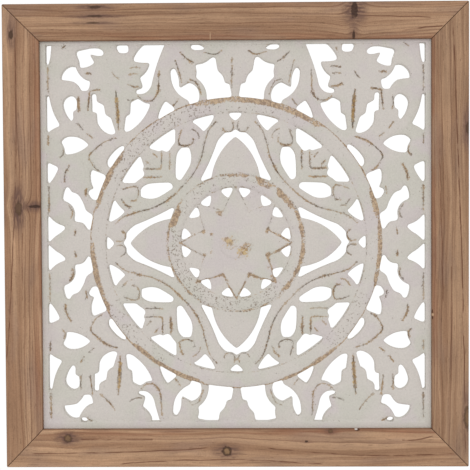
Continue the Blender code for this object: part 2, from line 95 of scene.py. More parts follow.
CORNER_OPENINGS = {
    "stalk_side": [
        (20.7, 197.3, 0), (22.5, 199.2, 0), (25.3, 198.8, -2), (42, 191.2, 0), (42.5, 189.3, -0.5),
        (41.2, 181.5, 0), (42, 178.5, 0), (41, 176, -2.7), (30.6, 157, 0), (30.6, 152.6, ON_CIRCLE),
        (5, 155.4, 0), (3.6, 157.4, 0), (6, 170.2, 0), (11.2, 171.6, 0.6), (14.1, 180.3, 0), (18.6, 184.6, 0),
    ],
    "top_slit": [
        (32.2, 208.2, 0.5), (36, 206, 0), (43, 205.8, 0.3), (47.6, 208.5, 0), (47, 212.4, 0), (40, 213, 0.3),
    ],
    "curl_side": [
        (38, 156, 0), (39.2, 150.8, ON_CIRCLE), (49, 148, 0), (50.4, 152.5, 5.4), (69.2, 181, 1.9),
        (65.2, 187.4, 1.9), (60, 168, 0), (59.4, 166.3, 0), (49.5, 171.8, 2.8), (38.3, 159, 0),
    ],
    "leaf_side": [
        (74.6, 212.8, 0), (97, 213, 1.3), (109.3, 197, 0), (107.5, 194, 0.6), (91.5, 192.7, -2.2),
        (102.3, 177.5, -0.2), (99.2, 168, 0), (99.8, 166, 0), (106.3, 163.8, 0), (106.4, 160.8, 0),
        (104.5, 159.4, 0.3), (97, 160, 1.9), (88.5, 172, -1.1),
    ],
    "leaf_tip": [
        (115, 212.6, 0), (126, 212.6, 0), (127.4, 210.4, 0.4), (124, 203.6, 0.5), (115.2, 203.4, 0.3),
        (113.4, 206, 0.2),
    ],
    "ring_wedge": [(64.9, 142, 0), (66, 145.6, 0), (75, 152.6, 1.2), (83.4, 134.2, 0), (82, 132.4, ON_CIRCLE)],
    "vine_inner": [
        (91.2, 149.4, 0), (91.2, 146.8, 2.8), (112.5, 120.4, 0.3), (117.5, 119.4, 0.3), (119.6, 121.8, 0),
        (117.8, 136.2, 0), (113.2, 138.4, 0), (112.5, 151, 0), (104.5, 155, 0), (97.5, 150.3, 0),
    ],
    "vine_outer": [
        (128, 118.3, 0), (130.4, 116.6, 0.3), (135.5, 117, 2.1), (148.4, 129.5, 0), (149, 140.2, 0),
        (153.9, 141, -0.4), (154.4, 159.4, 0), (151.5, 160.8, 0), (148.4, 158.6, 0), (148.2, 151.8, 0),
        (140.6, 147.8, 0), (139, 137.6, 0), (133, 134, 0),
    ],
    "corner_hook": [
        (140, 203.4, 1.2), (147.5, 209.1, 0.2), (156, 209, 0), (168.8, 206.3, 0.5), (170.4, 203.2, 0),
        (167.5, 196, -0.3), (167.2, 190.2, 0), (165.2, 188, 1.6), (150.2, 193.2, 0), (154, 199.8, 0),
        (154.8, 202.2, 0), (147, 200.2, 0), (142, 200.3, 0.4),
    ],
    "corner_wing": [
        (155, 172.6, 0), (156.6, 174.4, 0), (160.5, 175.4, -1.6), (170.4, 189.2, 0), (176, 189.8, 2.6),
        (187, 176.6, 0), (185.8, 174.9, -0.3), (172.5, 173.2, -0.8), (165.5, 164.2, 0), (163.5, 163.3, 0),
        (158, 163.4, 0), (156.3, 166, 0),
    ],
    "corner_slot": [
        (196, 212.6, 0), (203.6, 212.6, 0), (203.6, 193.5, 0.5), (199.6, 190.9, 0), (197.6, 198, 0),
    ],
    "scroll_eye": [
        (169.2, 149.5, 2.4), (176, 158.5, 2.1), (185, 149, 1.4), (178, 132.5, 0.4), (175.3, 131, 0),
        (173.5, 133.5, 0), (173.8, 141.3, 0), (169.8, 143.3, 0),
    ],
    "edge_horn": [
        (199.4, 158.4, 0), (202.7, 158, 0), (203.6, 151, 0), (203.6, 124, 0.5), (200.6, 118.8, -0.8),
        (188.8, 125.6, 0), (188.2, 127.4, -1.2), (197.6, 150, 0),
    ],
    "scroll_lens": [
        (157, 105.4, 3.1), (180, 114.6, 1.2), (188, 108.6, -0.5), (184, 100.5, 0), (183.8, 96.4, 0),
        (181.5, 95.4, 2.7),
    ],
    "ring_pod": [
        (118.6, 101.4, 0), (119.6, 104.8, 0), (123, 104.4, 1.2), (136.8, 90.6, 1.1), (137, 82.2, 0),
        (134.3, 80.6, 0), (132.2, 82.8, ON_CIRCLE),
    ],
    "edge_tooth": [
        (189.9, 80.4, 0), (190.8, 82.4, 0), (200, 86.6, 0.2), (203.6, 85.6, 0), (203.6, 68, 0.5),
        (200, 64.1, 0.8),
    ],
    "side_bud": [
        (138.9, 71, 0), (140.7, 73.7, 0), (154.2, 79, 0), (155.8, 77, 0.8), (155.6, 64, 0), (153.4, 58.6, 0),
        (157.4, 57.6, 0.3), (159.5, 54.2, 0.4), (155, 47.2, 0), (151, 46.1, 0), (148.8, 46.8, ON_CIRCLE),
    ],
    "side_branch": [
        (153.4, 29, 0), (155.2, 31.7, 0), (158.3, 33.2, -0.9), (162.4, 39.8, 0.4), (168, 51, 0.9),
        (176, 55, 0), (179, 60, 0), (181, 60.7, 0.4), (183.8, 59, 0.2), (186.3, 50, 0.3), (185.6, 45.6, -3.2),
        (173.5, 31.5, 0), (174.5, 25, 0), (172.8, 22.8, 0), (168, 22.4, -1), (162, 17.5, 0), (160.3, 14.7, 0.4),
        (157.6, 13.7, 0), (156, 15.6, 0),
    ],
    "side_fan": [
        (183, 16.4, 0), (184.2, 18.7, -1.8), (200.4, 29.6, 0), (203.6, 28.6, 0), (203.6, 4, 0.6), (201, 1.3, 0),
        (193, 8.5, 0.7),
    ],
}
FIELD_SIDE, FIELD_TOP, FIELD_BOTTOM = 202.7, 212.1, -192.6
SMALLEST_OPENING = 6.0
CORNER_HOLE = (164.8, 190.5, 3.6, 2.65)
SAW_STEP, FEWEST_STEPS = 1.05, 12
SAW_FOLLOWS = 0.02
CORNER_PASSES = 3


def bowed_edge(start, end, bow, outward):
    """Points from start, up to but without end, on a shallow arc whose middle stands off the chord by bow."""
    if bow is ON_CIRCLE:
        near, turn = math.hypot(*start), math.atan2(start[1], start[0])
        growth, sweep = math.hypot(*end) - near, math.atan2(end[1], end[0]) - turn
        steps = max(1, math.ceil(math.sqrt(near * (1 - math.cos(sweep / 2)) / SAW_FOLLOWS)))
        round_the_middle = [(near + growth * i / steps, turn + sweep * i / steps) for i in range(steps)]
        return [(reach * math.cos(angle), reach * math.sin(angle)) for reach, angle in round_the_middle]
    steps = max(1, math.ceil(math.sqrt(abs(bow) / SAW_FOLLOWS)))
    across, up = end[0] - start[0], end[1] - start[1]
    length = math.hypot(across, up)
    points = []
    for share in (i / steps for i in range(steps)):
        stand_off = 4 * bow * share * (1 - share) * outward / length
        points.append((start[0] + across * share + up * stand_off, start[1] + up * share - across * stand_off))
    return points


def sides_of(points):
    """Each point of a closed line with the next."""
    return list(zip(points, points[1:] + points[:1]))


def signed_area(points):
    return sum(a[0] * b[1] - b[0] * a[1] for a, b in sides_of(points)) / 2


def outline(corners):
    """The closed outline of an opening from its corners and bows."""
    outward = math.copysign(1, signed_area([corner[:2] for corner in corners]))
    points = []
    for (x, z, bow), (end_x, end_z, _) in sides_of(corners):
        points += bowed_edge((x, z), (end_x, end_z), bow, outward)
    return points


def whole(half):
    """A half opening and its mirror image across x = 0, as one list of corners."""
    mirrored = [(-end[0], end[1], start[2]) for start, end in zip(half, half[1:])]
    return half[:-1] + mirrored[::-1]


def in_quarters(points):
    return [[(side * x, level * z) for x, z in points] for side in (1, -1) for level in (1, -1)]


def in_eighths(points):
    return in_quarters(points) + in_quarters([(z, x) for x, z in points])


def on_axes(points):
    turned = [(z, x) for x, z in points]
    return [points, [(x, -z) for x, z in points], turned, [(-x, z) for x, z in turned]]


def kept_within(points, axis, limit):
    """The part of an outline on the near side of a straight limit."""
    sign = math.copysign(1, limit)
    kept = []
    for a, b in sides_of(points):
        inside = [sign * (limit - p[axis]) >= 0 for p in (a, b)]
        if inside[0]:
            kept.append(a)
        if inside[0] != inside[1]:
            share = (limit - a[axis]) / (b[axis] - a[axis])
            kept.append(tuple(a[i] + (b[i] - a[i]) * share for i in (0, 1)))
    return kept


def sawn(points):
    """The outline at even steps, with its corners as round as the cutter leaves them."""
    sides = [(a, b, math.dist(a, b)) for a, b in sides_of(points)]
    length = sum(run for _, _, run in sides)
    count = max(FEWEST_STEPS, round(length / SAW_STEP))
    step, travelled, line = length / count, 0.0, []
    for a, b, run in sides:
        while len(line) < count and len(line) * step < travelled + run:
            share = (len(line) * step - travelled) / run
            line.append((a[0] + (b[0] - a[0]) * share, a[1] + (b[1] - a[1]) * share))
        travelled += run
    for _ in range(CORNER_PASSES):
        line = [
            ((a[0] + 2 * p[0] + b[0]) / 4, (a[1] + 2 * p[1] + b[1]) / 4)
            for a, p, b in zip(line[-1:] + line[:-1], line, line[1:] + line[:1])
        ]
    return line


outlines = []
for half in AXIS_OPENINGS.values():
    outlines += on_axes(outline(whole(half)))
for corners in RING_OPENINGS.values():
    outlines += in_eighths(outline(corners))
for corners in CORNER_OPENINGS.values():
    outlines += in_quarters(outline(corners))
saw_lines = []
for points in outlines:
    for axis, limit in ((0, FIELD_SIDE), (0, -FIELD_SIDE), (1, FIELD_TOP), (1, FIELD_BOTTOM)):
        points = kept_within(points, axis, limit)
    tall = max((z for _, z in points), default=0) - min((z for _, z in points), default=0)
    if tall > SMALLEST_OPENING:
        saw_lines.append(sawn(points if signed_area(points) > 0 else points[::-1]))
hole_x, hole_drop, hole_half_width, hole_half_height = CORNER_HOLE
turns = [math.radians(degrees) for degrees in range(0, 360, 20)]
for side in (1, -1):
    saw_lines.append([
        (side * hole_x + hole_half_width * math.cos(turn), hole_half_height * math.sin(turn) - hole_drop)
        for turn in turns
    ])


# Gouge work on the board. The carver cut the veins, strands and scroll ends with a V tool and left one side of
# most cuts lower than the other. Each line is a list of points with the low side on its right, then the width
# of the cut, all in pattern units, and its depth and the drop of its low side in millimetres.

EIGHTH_CUTS = [
    ([(21, 129.5), (28.5, 120.5), (33.5, 105), (37, 91), (43, 78), (50, 68), (58.8, 58.8)], 1.7, 1.0, 0.35),
    ([(2.6, 128.5), (2.2, 122.6), (6, 118.4), (11, 119.2), (13.6, 123)], 1.4, 0.9, 0.5),
    ([(45.4, 112), (46.2, 107), (53.6, 103.8), (60.4, 106), (60.6, 112), (57.6, 121)], 1.4, 1.1, 0.6),
    ([(46.4, 122), (40.6, 117.6), (38.8, 111.6)], 1.2, 0.6, 0.3),
    ([(70.6, 98), (70.2, 88), (70.8, 78.6)], 1.5, 0.9, 0.3),
    ([(79.6, 98), (79.2, 88), (79.6, 80)], 1.3, 0.7, 0.2),
    ([(88, 96), (84, 91.6)], 1.2, 0.6, 0.2),
]
QUARTER_CUTS = [
    ([(127.6, 163), (126.6, 150), (125.6, 136), (125, 121.6)], 3.0, 1.9, 0.0),
    ([(114.6, 169.8), (108.6, 167.2), (101.8, 166.6)], 1.5, 0.8, 0.4),
    ([(14.6, 204.6), (22, 201.2), (33, 203.6)], 1.8, 1.2, 0.5),
    ([(45, 193), (51.6, 197), (58.4, 204)], 1.6, 1.0, 0.4),
    ([(63.2, 194.6), (60, 184), (57.2, 171)], 1.6, 0.9, 0.4),
    ([
        (81, 185), (81.4, 172), (82.2, 162), (85.8, 155), (90.8, 151.8), (96, 151.8), (100.4, 154),
        (103.4, 157),
    ], 1.4, 1.0, 0.4),
    ([(49.6, 172.4), (54.2, 166.4), (59, 166.6)], 1.3, 0.8, 0.4),
    ([(36.2, 158), (41.4, 171), (49, 174.4)], 1.3, 0.6, 0.3),
    ([(155.4, 163), (156.6, 152), (157.4, 142.6)], 1.6, 1.0, 0.4),
    ([(167.8, 157), (168.2, 149), (167.4, 142)], 1.6, 1.0, 0.4),
    ([(180.8, 211.6), (185, 208.4)], 2.2, 1.5, 0.3),
    ([(178, 83.6), (182.6, 75), (183.4, 66)], 1.6, 1.0, 0.4),
    ([(160, 59), (161.4, 51.4)], 1.5, 1.0, 0.4),
    ([
        (128, 112.6), (140, 108.6), (152.6, 98.4), (156.8, 92.6), (154, 85.6), (149.6, 79.6), (144.6, 76.6),
    ], 1.4, 0.9, 0.5),
    ([(187.6, 92.4), (184.4, 97), (184.8, 103.6)], 1.3, 0.9, 0.3),
    ([(176.4, 27), (175, 33.6), (179.4, 41)], 1.2, 0.7, 0.3),
    ([(163.6, 122), (168.4, 128.4)], 1.4, 0.9, 0.3),
    ([(153.4, 113), (158.4, 117)], 1.4, 0.9, 0.3),
    ([(60.6, 154), (66.6, 146.4), (76, 141)], 1.3, 0.7, 0.3),
    ([(200.2, 189.6), (200.2, 161)], 1.0, 0.9, 0.1),
    ([(200.4, 116.6), (200.4, 105)], 1.0, 0.7, 0.1),
    ([(200.2, 62), (200.2, 33)], 0.9, 0.6, 0.1),
    ([(172, 14.6), (172.8, 8.8)], 1.6, 1.0, 0.3),
]
SIDE_CUTS = [
    ([(112, 187), (106, 188), (101.6, 187.4)], 1.4, 0.7, 0.3),
    ([(113, 179.8), (108, 180.8), (103.4, 180.2)], 1.3, 0.6, 0.3),
    ([(154, 181.4), (157, 182.2), (160, 181.4)], 1.4, 0.7, 0.3),
    ([(144.6, 164.2), (150, 163.8), (155, 162.2)], 1.6, 1.0, 0.4),
    ([(148, -162.4), (140.4, -168.4), (133.6, -176.6), (131.4, -180)], 1.5, 0.9, 0.3),
    ([(156, -191.6), (159, -190.4), (161.6, -188.6)], 1.8, 1.2, 0.3),
]
SINGLE_CUTS = [
    ([(-3.4, 197), (-3.2, 182), (-3.6, 165)], 1.3, 0.7, 0.1),
    ([(127, 182.6), (129.8, 178), (133.4, 174.8)], 1.9, 1.1, 0.3),
    ([(-131, 182), (-127.6, 178), (-124, 175.4)], 1.9, 1.1, 0.3),
    ([(-115, 153.6), (-112, 152), (-108, 154)], 1.2, 0.7, 0.3),
    ([(107.6, 208), (108.4, 204.4)], 1.6, 1.2, 0.2),
]
SAMPLE_STEP = 0.4
CLEAR_OF_BORDER = 0.5


def smooth_line(points):
    """A curve through the points at even steps, as the tool runs."""
    ends = [points[0]] + points + [points[-1]]
    line = []
    for before, start, end, after in zip(ends, ends[1:], ends[2:], ends[3:]):
        steps = max(1, round(math.dist(start, end) / SAMPLE_STEP))
        for t in (i / steps for i in range(steps)):
            line.append(tuple(
                0.5 * (
                    2 * b + (c - a) * t + (2 * a - 5 * b + 4 * c - d) * t * t + (3 * b - a - 3 * c + d) * t ** 3
                )
                for a, b, c, d in zip(before, start, end, after)
            ))
    return line + [points[-1]]


cut_samples = []


def add_cut(line, mirrored, width, depth, drop, strength):
    """Samples of one cut: the place, the way to the low side, the half width, the depth and the drop."""
    last = len(line) - 1
    for i, (x, z) in enumerate(line):
        before, after = line[max(i - 1, 0)], line[min(i + 1, last)]
        run = math.dist(before, after)
        low = ((after[1] - before[1]) / run, (before[0] - after[0]) / run)
        if mirrored:
            low = (-low[0], -low[1])
        taper = math.sin(math.pi * min(1, 0.04 + 0.92 * i / last)) ** 0.6
        cut_samples.append((x, z, *low, width / 2 * taper, depth * taper * strength, drop * taper * strength))


def strength_at(x, z):
    """The carver's hand: some copies of a cut are deep and some are faint."""
    return 0.85 + 0.5 * noise.noise(Vector((x, z, 7.0)) * 0.031)


def is_mirrored(copy, original):
    """Whether a copy is a mirror image of the line that it was made from."""
    turns = []
    for line in (copy, original):
        (ax, az), (bx, bz) = line[0], line[-1]
        turns.append(ax * bz - bx * az)
    return turns[0] * turns[1] < 0


def once(line):
    return [line]


def at_both_sides(line):
    return [line, [(-x, z) for x, z in line]]


for cuts, copies in (
    (EIGHTH_CUTS, in_eighths), (QUARTER_CUTS, in_quarters), (SIDE_CUTS, at_both_sides), (SINGLE_CUTS, once)
):
    for points, width, depth, drop in cuts:
        original = smooth_line(points)
        for line in copies(original):
            if min(z for _, z in line) > FIELD_BOTTOM + CLEAR_OF_BORDER:
                middle = line[len(line) // 2]
                add_cut(line, is_mirrored(line, original), width, depth, drop, strength_at(*middle))


# Sheet of the board's face: points along every saw line, cut and ring, and even points between them, joined to
# triangles around the openings.

CENTRE_RING_ROWS = [59.4, 61.0, 62.6, 70.8, 71.6, 72.2, 72.8, 74.2]
MAIN_RING_ROWS = [139.8, 141.4, 143.4, 150.6, 152.6, 154.4, 155.4, 156.2, 157.2]
STAR_TIP, STAR_VALLEY, STAR_PETALS, STAR_BOW = 59.3, 36.2, 8, 0.8
BOSS_RADIUS = 17.6
BOSS_ROWS = [BOSS_RADIUS - 1.2, BOSS_RADIUS, BOSS_RADIUS + 0.6]
FIRST_EDGE_ROW, FIRST_EDGE_GAP = 0.45, 0.36
OTHER_EDGE_ROWS = ((1.05, 0.55), (1.9, 0.8))
BORDER_ROWS, BORDER_GAP = (-0.9, -0.05, 0.45, 1.1), 0.4
STAR_ROWS, STAR_GAP = (1.0, 0.975, 1.02), 0.5
CUT_GAP, RING_GAP = 0.6, 0.6
FILL_STEP, FILL_GAP = 2.15, 1.25
ROW_STEP, BOARD_EDGE_STEP = 1.2, 4
CELL = 2.0
PATTERN_DROP = 7.4 * MM

board_low, board_high = (Vector(corner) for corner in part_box("carved_panel"))
PATTERN_Z = (cad_box[0][2] + cad_box[1][2]) / 2 - PATTERN_DROP

sheet_points, opening_faces, cells = [], [], {}


def set_point(x, z):
    cells.setdefault((int(x // CELL), int(z // CELL)), []).append((x, z))
    sheet_points.append(Vector((x, z)))


def set_loop(points):
    """Sets the points of a closed line, and returns their numbers."""
    first = len(sheet_points)
    for x, z in points:
        set_point(x, z)
    return list(range(first, len(sheet_points)))


def set_apart(points, gap):
    """Adds each point that stands at least gap from all the others."""
    for x, z in points:
        column, row = int(x // CELL), int(z // CELL)
        near = (p for i in (-1, 0, 1) for j in (-1, 0, 1) for p in cells.get((column + i, row + j), ()))
        if all((x - p[0]) ** 2 + (z - p[1]) ** 2 >= gap * gap for p in near):
            set_point(x, z)


def beside(loop, offset):
    """Points that stand off a saw line, in the wood."""
    outward = math.copysign(1, signed_area(loop))
    for before, (x, z), after in zip(loop[-1:] + loop[:-1], loop, loop[1:] + loop[:1]):
        run = math.dist(before, after) or 1
        yield (
            x + (after[1] - before[1]) / run * offset * outward,
            z - (after[0] - before[0]) / run * offset * outward,
        )


def circle(radius, step):
    count = round(math.tau * radius / step)
    turns = [math.tau * i / count for i in range(count)]
    return [(radius * math.cos(turn), radius * math.sin(turn)) for turn in turns]


def even_steps(start, end, step):
    count = max(1, round(math.dist(start, end) / step))
    across, up = end[0] - start[0], end[1] - start[1]
    return [(start[0] + across * i / count, start[1] + up * i / count) for i in range(count)]


def rectangle(side, bottom, top, step):
    corners = [(-side, bottom), (side, bottom), (side, top), (-side, top)]
    return [p for a, b in sides_of(corners) for p in even_steps(a, b, step)]


edge_side = board_high.x / PATTERN_UNIT
edge_bottom, edge_top = (board_low.z - PATTERN_Z) / PATTERN_UNIT, (board_high.z - PATTERN_Z) / PATTERN_UNIT
board_edge = set_loop(rectangle(edge_side, edge_bottom, edge_top, BOARD_EDGE_STEP))
for line in saw_lines:
    opening_faces.append(set_loop(line))
for loop in saw_lines:
    set_apart(beside(loop, FIRST_EDGE_ROW), FIRST_EDGE_GAP)
for side in (0, 1, -1):
    set_apart([(s[0] + side * s[2] * s[4], s[1] + side * s[3] * s[4]) for s in cut_samples[::2]], CUT_GAP)
star_line = []
for i in range(STAR_PETALS):
    tip, turn = math.tau * i / STAR_PETALS, math.tau * (i + 0.5) / STAR_PETALS
    corner = (STAR_VALLEY * math.cos(turn), STAR_VALLEY * math.sin(turn))
    ends = [(STAR_TIP * math.cos(a), STAR_TIP * math.sin(a)) for a in (tip, tip + math.tau / STAR_PETALS)]
    star_line += even_steps(ends[0], corner, ROW_STEP) + even_steps(corner, ends[1], ROW_STEP)
for scale in STAR_ROWS:
    set_apart([(x * scale, z * scale) for x, z in star_line], STAR_GAP)
for row in BORDER_ROWS:
    set_apart(rectangle(FIELD_SIDE + row, FIELD_BOTTOM - row, FIELD_TOP + row, ROW_STEP), BORDER_GAP)
for radius in CENTRE_RING_ROWS + MAIN_RING_ROWS + BOSS_ROWS:
    set_apart(circle(radius, ROW_STEP), RING_GAP)
for offset, gap in OTHER_EDGE_ROWS:
    for loop in saw_lines:
        set_apart(beside(loop, offset), gap)
rows = int((edge_top - edge_bottom) / (FILL_STEP * math.sin(math.pi / 3)))
columns = int(2 * edge_side / FILL_STEP)
for row in range(1, rows):
    z = edge_bottom + row * FILL_STEP * math.sin(math.pi / 3)
    shift = FILL_STEP / 2 * (row % 2)
    set_apart([(-edge_side + shift + FILL_STEP * column, z) for column in range(1, columns)], FILL_GAP)
places, _, triangles, _, _, openings_of = delaunay_2d_cdt(
    sheet_points, sides_of(board_edge), opening_faces, 0, 1e-5
)
triangles = [triangle for triangle, openings in zip(triangles, openings_of) if not openings]
places = np.array([tuple(p) for p in places])


# Relief of the face: border left standing, field let down, rings, petals and buttons standing in it.

MAIN_RING = ([139.4, 141.2, 144.5, 150.6, 154.6, 155.8], [0.0, 1.0, 1.4, 1.45, 0.75, 0.0])
CENTRE_RING = ([59.2, 60.8, 64.0, 69.5, 71.8, 72.3, 72.9, 74.4], [0.0, 1.0, 1.45, 1.4, 1.1, 0.55, 0.7, 0.0])
BUTTONS = [(in_eighths, (54, 112), 8.0, 1.2), (in_eighths, (8, 124), 5.6, 0.9)]
BUTTONS += [(in_quarters, (185, 33), 10.0, 1.2), (in_quarters, (193.5, 99.5), 7.4, 0.9)]
BORDER_HEIGHT, BORDER_EASED = 1.5, 0.25
CROWN, CROWN_RUN = 0.85, 3.4
EDGE_EASED, EDGE_RUN = 0.5, 1.4
PETAL_FOOT, PETAL_PILLOW, PETAL_RUN = 0.15, 1.25, 5.5
GROOVE_DEPTH, GROOVE_IN, GROOVE_WIDTH = 0.45, 1.6, 1.2
BOSS_FOOT, BOSS_DOME, BOSS_LINE = 1.15, 0.85, 0.25
STAR_FACE, LOWER_PETALS, LOWER_CROWN = 1.1, -0.45, 0.3
BUTTON_FOOT = 0.35
HAND_RELIEF, HAND_SCALE = 0.12, 0.11

x, z = places[:, 0], places[:, 1]
radius = np.hypot(x, z)
in_centre, beyond_rings = radius < 62, radius > 158


def eased(low, high, value):
    share = np.clip((value - low) / (high - low), 0, 1)
    return share * share * (3 - 2 * share)


def fading(away, width):
    """1 on a line or a spot, and less the farther away."""
    return np.exp(-(away / width) ** 2)


def nearest(samples):
    """For each point of the sheet, the nearest sample and how far off it is."""
    tree = KDTree(len(samples))
    for i, sample in enumerate(samples):
        tree.insert((sample[0], sample[1], 0), i)
    tree.balance()
    found = [tree.find((px, pz, 0)) for px, pz in places]
    return np.array([f[1] for f in found]), np.array([f[2] for f in found])


fine_saw_lines = [p for line in saw_lines for a, b in sides_of(line) for p in even_steps(a, b, 0.35)]
_, from_edge = nearest(fine_saw_lines)
cut_index, from_cut = nearest(cut_samples)
cut = np.array(cut_samples)[cut_index]
is_cut, is_vein = cut[:, 4] > 0.2, cut[:, 4] > 1.1
low_side = (x - cut[:, 0]) * cut[:, 2] + (z - cut[:, 1]) * cut[:, 3]

outside_field = np.maximum.reduce([np.abs(x) - FIELD_SIDE, z - FIELD_TOP, FIELD_BOTTOM - z])
crown = CROWN * (1 - np.exp(-from_edge / CROWN_RUN))
height = crown.copy()

# The four long petals are pillows: they lie between the rings, within their gaps
upright = np.abs(z) > np.abs(x)
along, across = np.where(upright, np.abs(z), np.abs(x)), np.where(upright, np.abs(x), np.abs(z))
in_petal = (radius > 73.5) & (across < np.interp(along, [69, 90, 107, 118], [32, 25, 15, 0]))
height = np.where(in_petal, PETAL_FOOT + PETAL_PILLOW * (1 - np.exp(-from_edge / PETAL_RUN)), height)

# The rosette: a star of eight flat petals over eight that lie lower, and the boss
fold = math.tau / STAR_PETALS
angle = np.abs((np.arctan2(z, x) + fold / 2) % fold - fold / 2)
px, pz = radius * np.cos(angle), radius * np.sin(angle)
vx, vz = STAR_VALLEY * math.cos(fold / 2), STAR_VALLEY * math.sin(fold / 2)
side_length = math.hypot(STAR_TIP - vx, vz)
in_star = ((STAR_TIP - px) * vz - pz * (STAR_TIP - vx)) / side_length
bow = STAR_BOW * np.sin(math.pi * np.clip((STAR_TIP - px) / (STAR_TIP - vx), 0, 1))
in_star = np.where(in_centre, in_star + bow, -9.0)
petal_top = STAR_FACE - 0.25 * fading((fold / 2 - angle) * radius, 2.2) * eased(20, 30, radius)
height = np.where(radius < 60, LOWER_CROWN * crown + LOWER_PETALS, height)
height = np.maximum(height, petal_top * eased(-0.2, 1.2, in_star))
boss = BOSS_FOOT + BOSS_DOME * np.sqrt(np.clip(1 - (radius / BOSS_RADIUS) ** 2, 0, 1)) ** 0.6
height = np.where(radius < BOSS_RADIUS, boss, height)
height -= BOSS_LINE * fading(radius - BOSS_RADIUS - 0.3, 0.6)

for ring_radii, ring_heights in (MAIN_RING, CENTRE_RING):
    ring = np.interp(radius, ring_radii, ring_heights, left=-1, right=-1)
    height = np.maximum(height, ring)

for copies, centre, size, rise in BUTTONS:
    for (centre_x, centre_z), in copies([centre]):
        off = np.hypot(x - centre_x, z - centre_z) / size
        button = BUTTON_FOOT + rise * np.sqrt(np.clip(1 - off * off, 0, 1))
        height = np.where(off < 1, np.maximum(height, button), height)

# The cuts, the lower side of each, the rounded edges of the openings and the border
v_cut = cut[:, 5] * np.clip(1 - from_cut / np.maximum(cut[:, 4], 0.05), 0, 1)
drop = cut[:, 6] * np.exp(-from_cut / 3.0) * eased(-0.3, 0.5, low_side) * is_cut
height -= v_cut + drop
height -= EDGE_EASED * np.clip(1 - from_edge / EDGE_RUN, 0, 1) ** 2
groove = fading(outside_field + GROOVE_IN, GROOVE_WIDTH) * beyond_rings
height -= GROOVE_DEPTH * groove
border = eased(-0.45, 0.1, outside_field)
height = height * (1 - border) + (BORDER_HEIGHT - BORDER_EASED * np.clip(1 - from_edge / 1.2, 0, 1)) * border
hand = np.array([noise.noise(Vector((a, b, 0)) * HAND_SCALE) for a, b in places])
height += HAND_RELIEF * hand * (1 - border)


# Wear of the paint, and painted shade. Each stretch of a ring is (first angle, last angle, value), in degrees
# counterclockwise from the right; the value is how far in from the edge the paint is rubbed, or how thick the
# specks lie. Spots are (x, z, size, wear) or (x, z, size), and the dark rings of dirt and painted shade along
# the steps of the relief are (radius, width, strength of the dirt and shade).

MAIN_RUBBED = [
    (-17, 8, 3), (9, 21, 4), (54, 106, 5), (141, 166, 4), (179, 208, 4), (225, 256, 3), (288, 314, 2.5),
]
CENTRE_RUBBED = [(-50, 30, 3), (30, 51, 5), (57, 71, 6), (80, 97, 2.5), (149, 166, 5), (166, 226, 0.9)]
MAIN_SPECKLED = [(98, 152, 0.95), (60, 98, 0.7), (205, 240, 0.8), (310, 345, 0.75)]
CENTRE_SPECKLED = [(166, 312, 1.02), (60, 150, 0.75), (312, 345, 0.7)]
STAR_RUBBED = [(-72, -18, 1.3), (-14, 26, 1.05), (-105, -75, 0.95), (160, 202, 0.8), (222, 256, 0.95)]
MAIN_EDGE, CENTRE_EDGE = 155.8, 73.4
ELSEWHERE_RUBBED, ELSEWHERE_SPECKLED, FIELD_SPECKLED = 0.5, 0.45, 0.33
DIRT_AND_SHADE_RINGS = [(156.4, 0.7, 0.7), (74.0, 0.7, 0.8), (140.0, 0.8, 0.72), (59.8, 0.8, 0.78)]
STAR_DIRT_AND_SHADE, GROOVE_DIRT_AND_SHADE, BORDER_DIRT_AND_SHADE = 0.82, 0.5, 0.55
RUBBED_SPOTS = [
    (11, -5, 9.0, 0.95), (-18, 32, 4.4, 1.1), (-35, 12, 3.0, 1.15), (-26, 9, 2.4, 1.1), (-34, -13, 3.4, 1.15),
    (-26, -10, 2.4, 1.1), (33, 12, 3.4, 1.2), (34, -12, 3.4, 1.2), (14, -34, 3.6, 1.2), (25, -37, 2.6, 1.1),
    (35, -26, 3.0, 1.2), (38, -36, 2.6, 1.2), (-10, -41, 3.6, 0.8), (-10, -25, 2.0, 0.85), (-1, -18, 2.2, 0.8),
    (7, -12, 4.5, 0.9),
]
MUSTARD_SPOTS = [(-6.5, 1, 8.5), (7, -10, 8.0)]

bearing = np.degrees(np.arctan2(z, x))


def by_bearing(stretches, elsewhere):
    """The value of the stretch that each point's bearing falls in, with soft ends."""
    value = np.full(len(x), float(elsewhere))
    for first, last, inside in stretches:
        middle, half = (first + last) / 2, (last - first) / 2
        off = np.abs((bearing - middle + 180) % 360 - 180)
        value += (inside - value) * eased(half + 2.5, half - 2.5, off)
    return value


def rubbed_in(edge, stretches):
    inner = edge - 1.3 * by_bearing(stretches, ELSEWHERE_RUBBED)
    return eased(inner - 1.2, inner + 0.9, radius) * eased(edge + 1.6, edge + 0.2, radius)


ring_rub = np.maximum(rubbed_in(MAIN_EDGE, MAIN_RUBBED), rubbed_in(CENTRE_EDGE, CENTRE_RUBBED))
star_rub = by_bearing(STAR_RUBBED, 0.15) * fading(in_star + 0.1, 1.9) * in_centre
saw_edge = 0.34 * np.clip(1 - from_edge / 1.8, 0, 1)
uneven = np.array([noise.noise(Vector((a, b, 90)) * 0.03) for a, b in places])
beside_cut = (0.68 + 0.5 * uneven) * fading(from_cut, 2.1) * is_cut
rubbed = np.maximum.reduce([ring_rub, star_rub, saw_edge, beside_cut]) * (1 - border)
for spot_x, spot_z, size, worn in RUBBED_SPOTS:
    rubbed = np.maximum(rubbed, worn * fading(np.hypot(x - spot_x, z - spot_z), size))
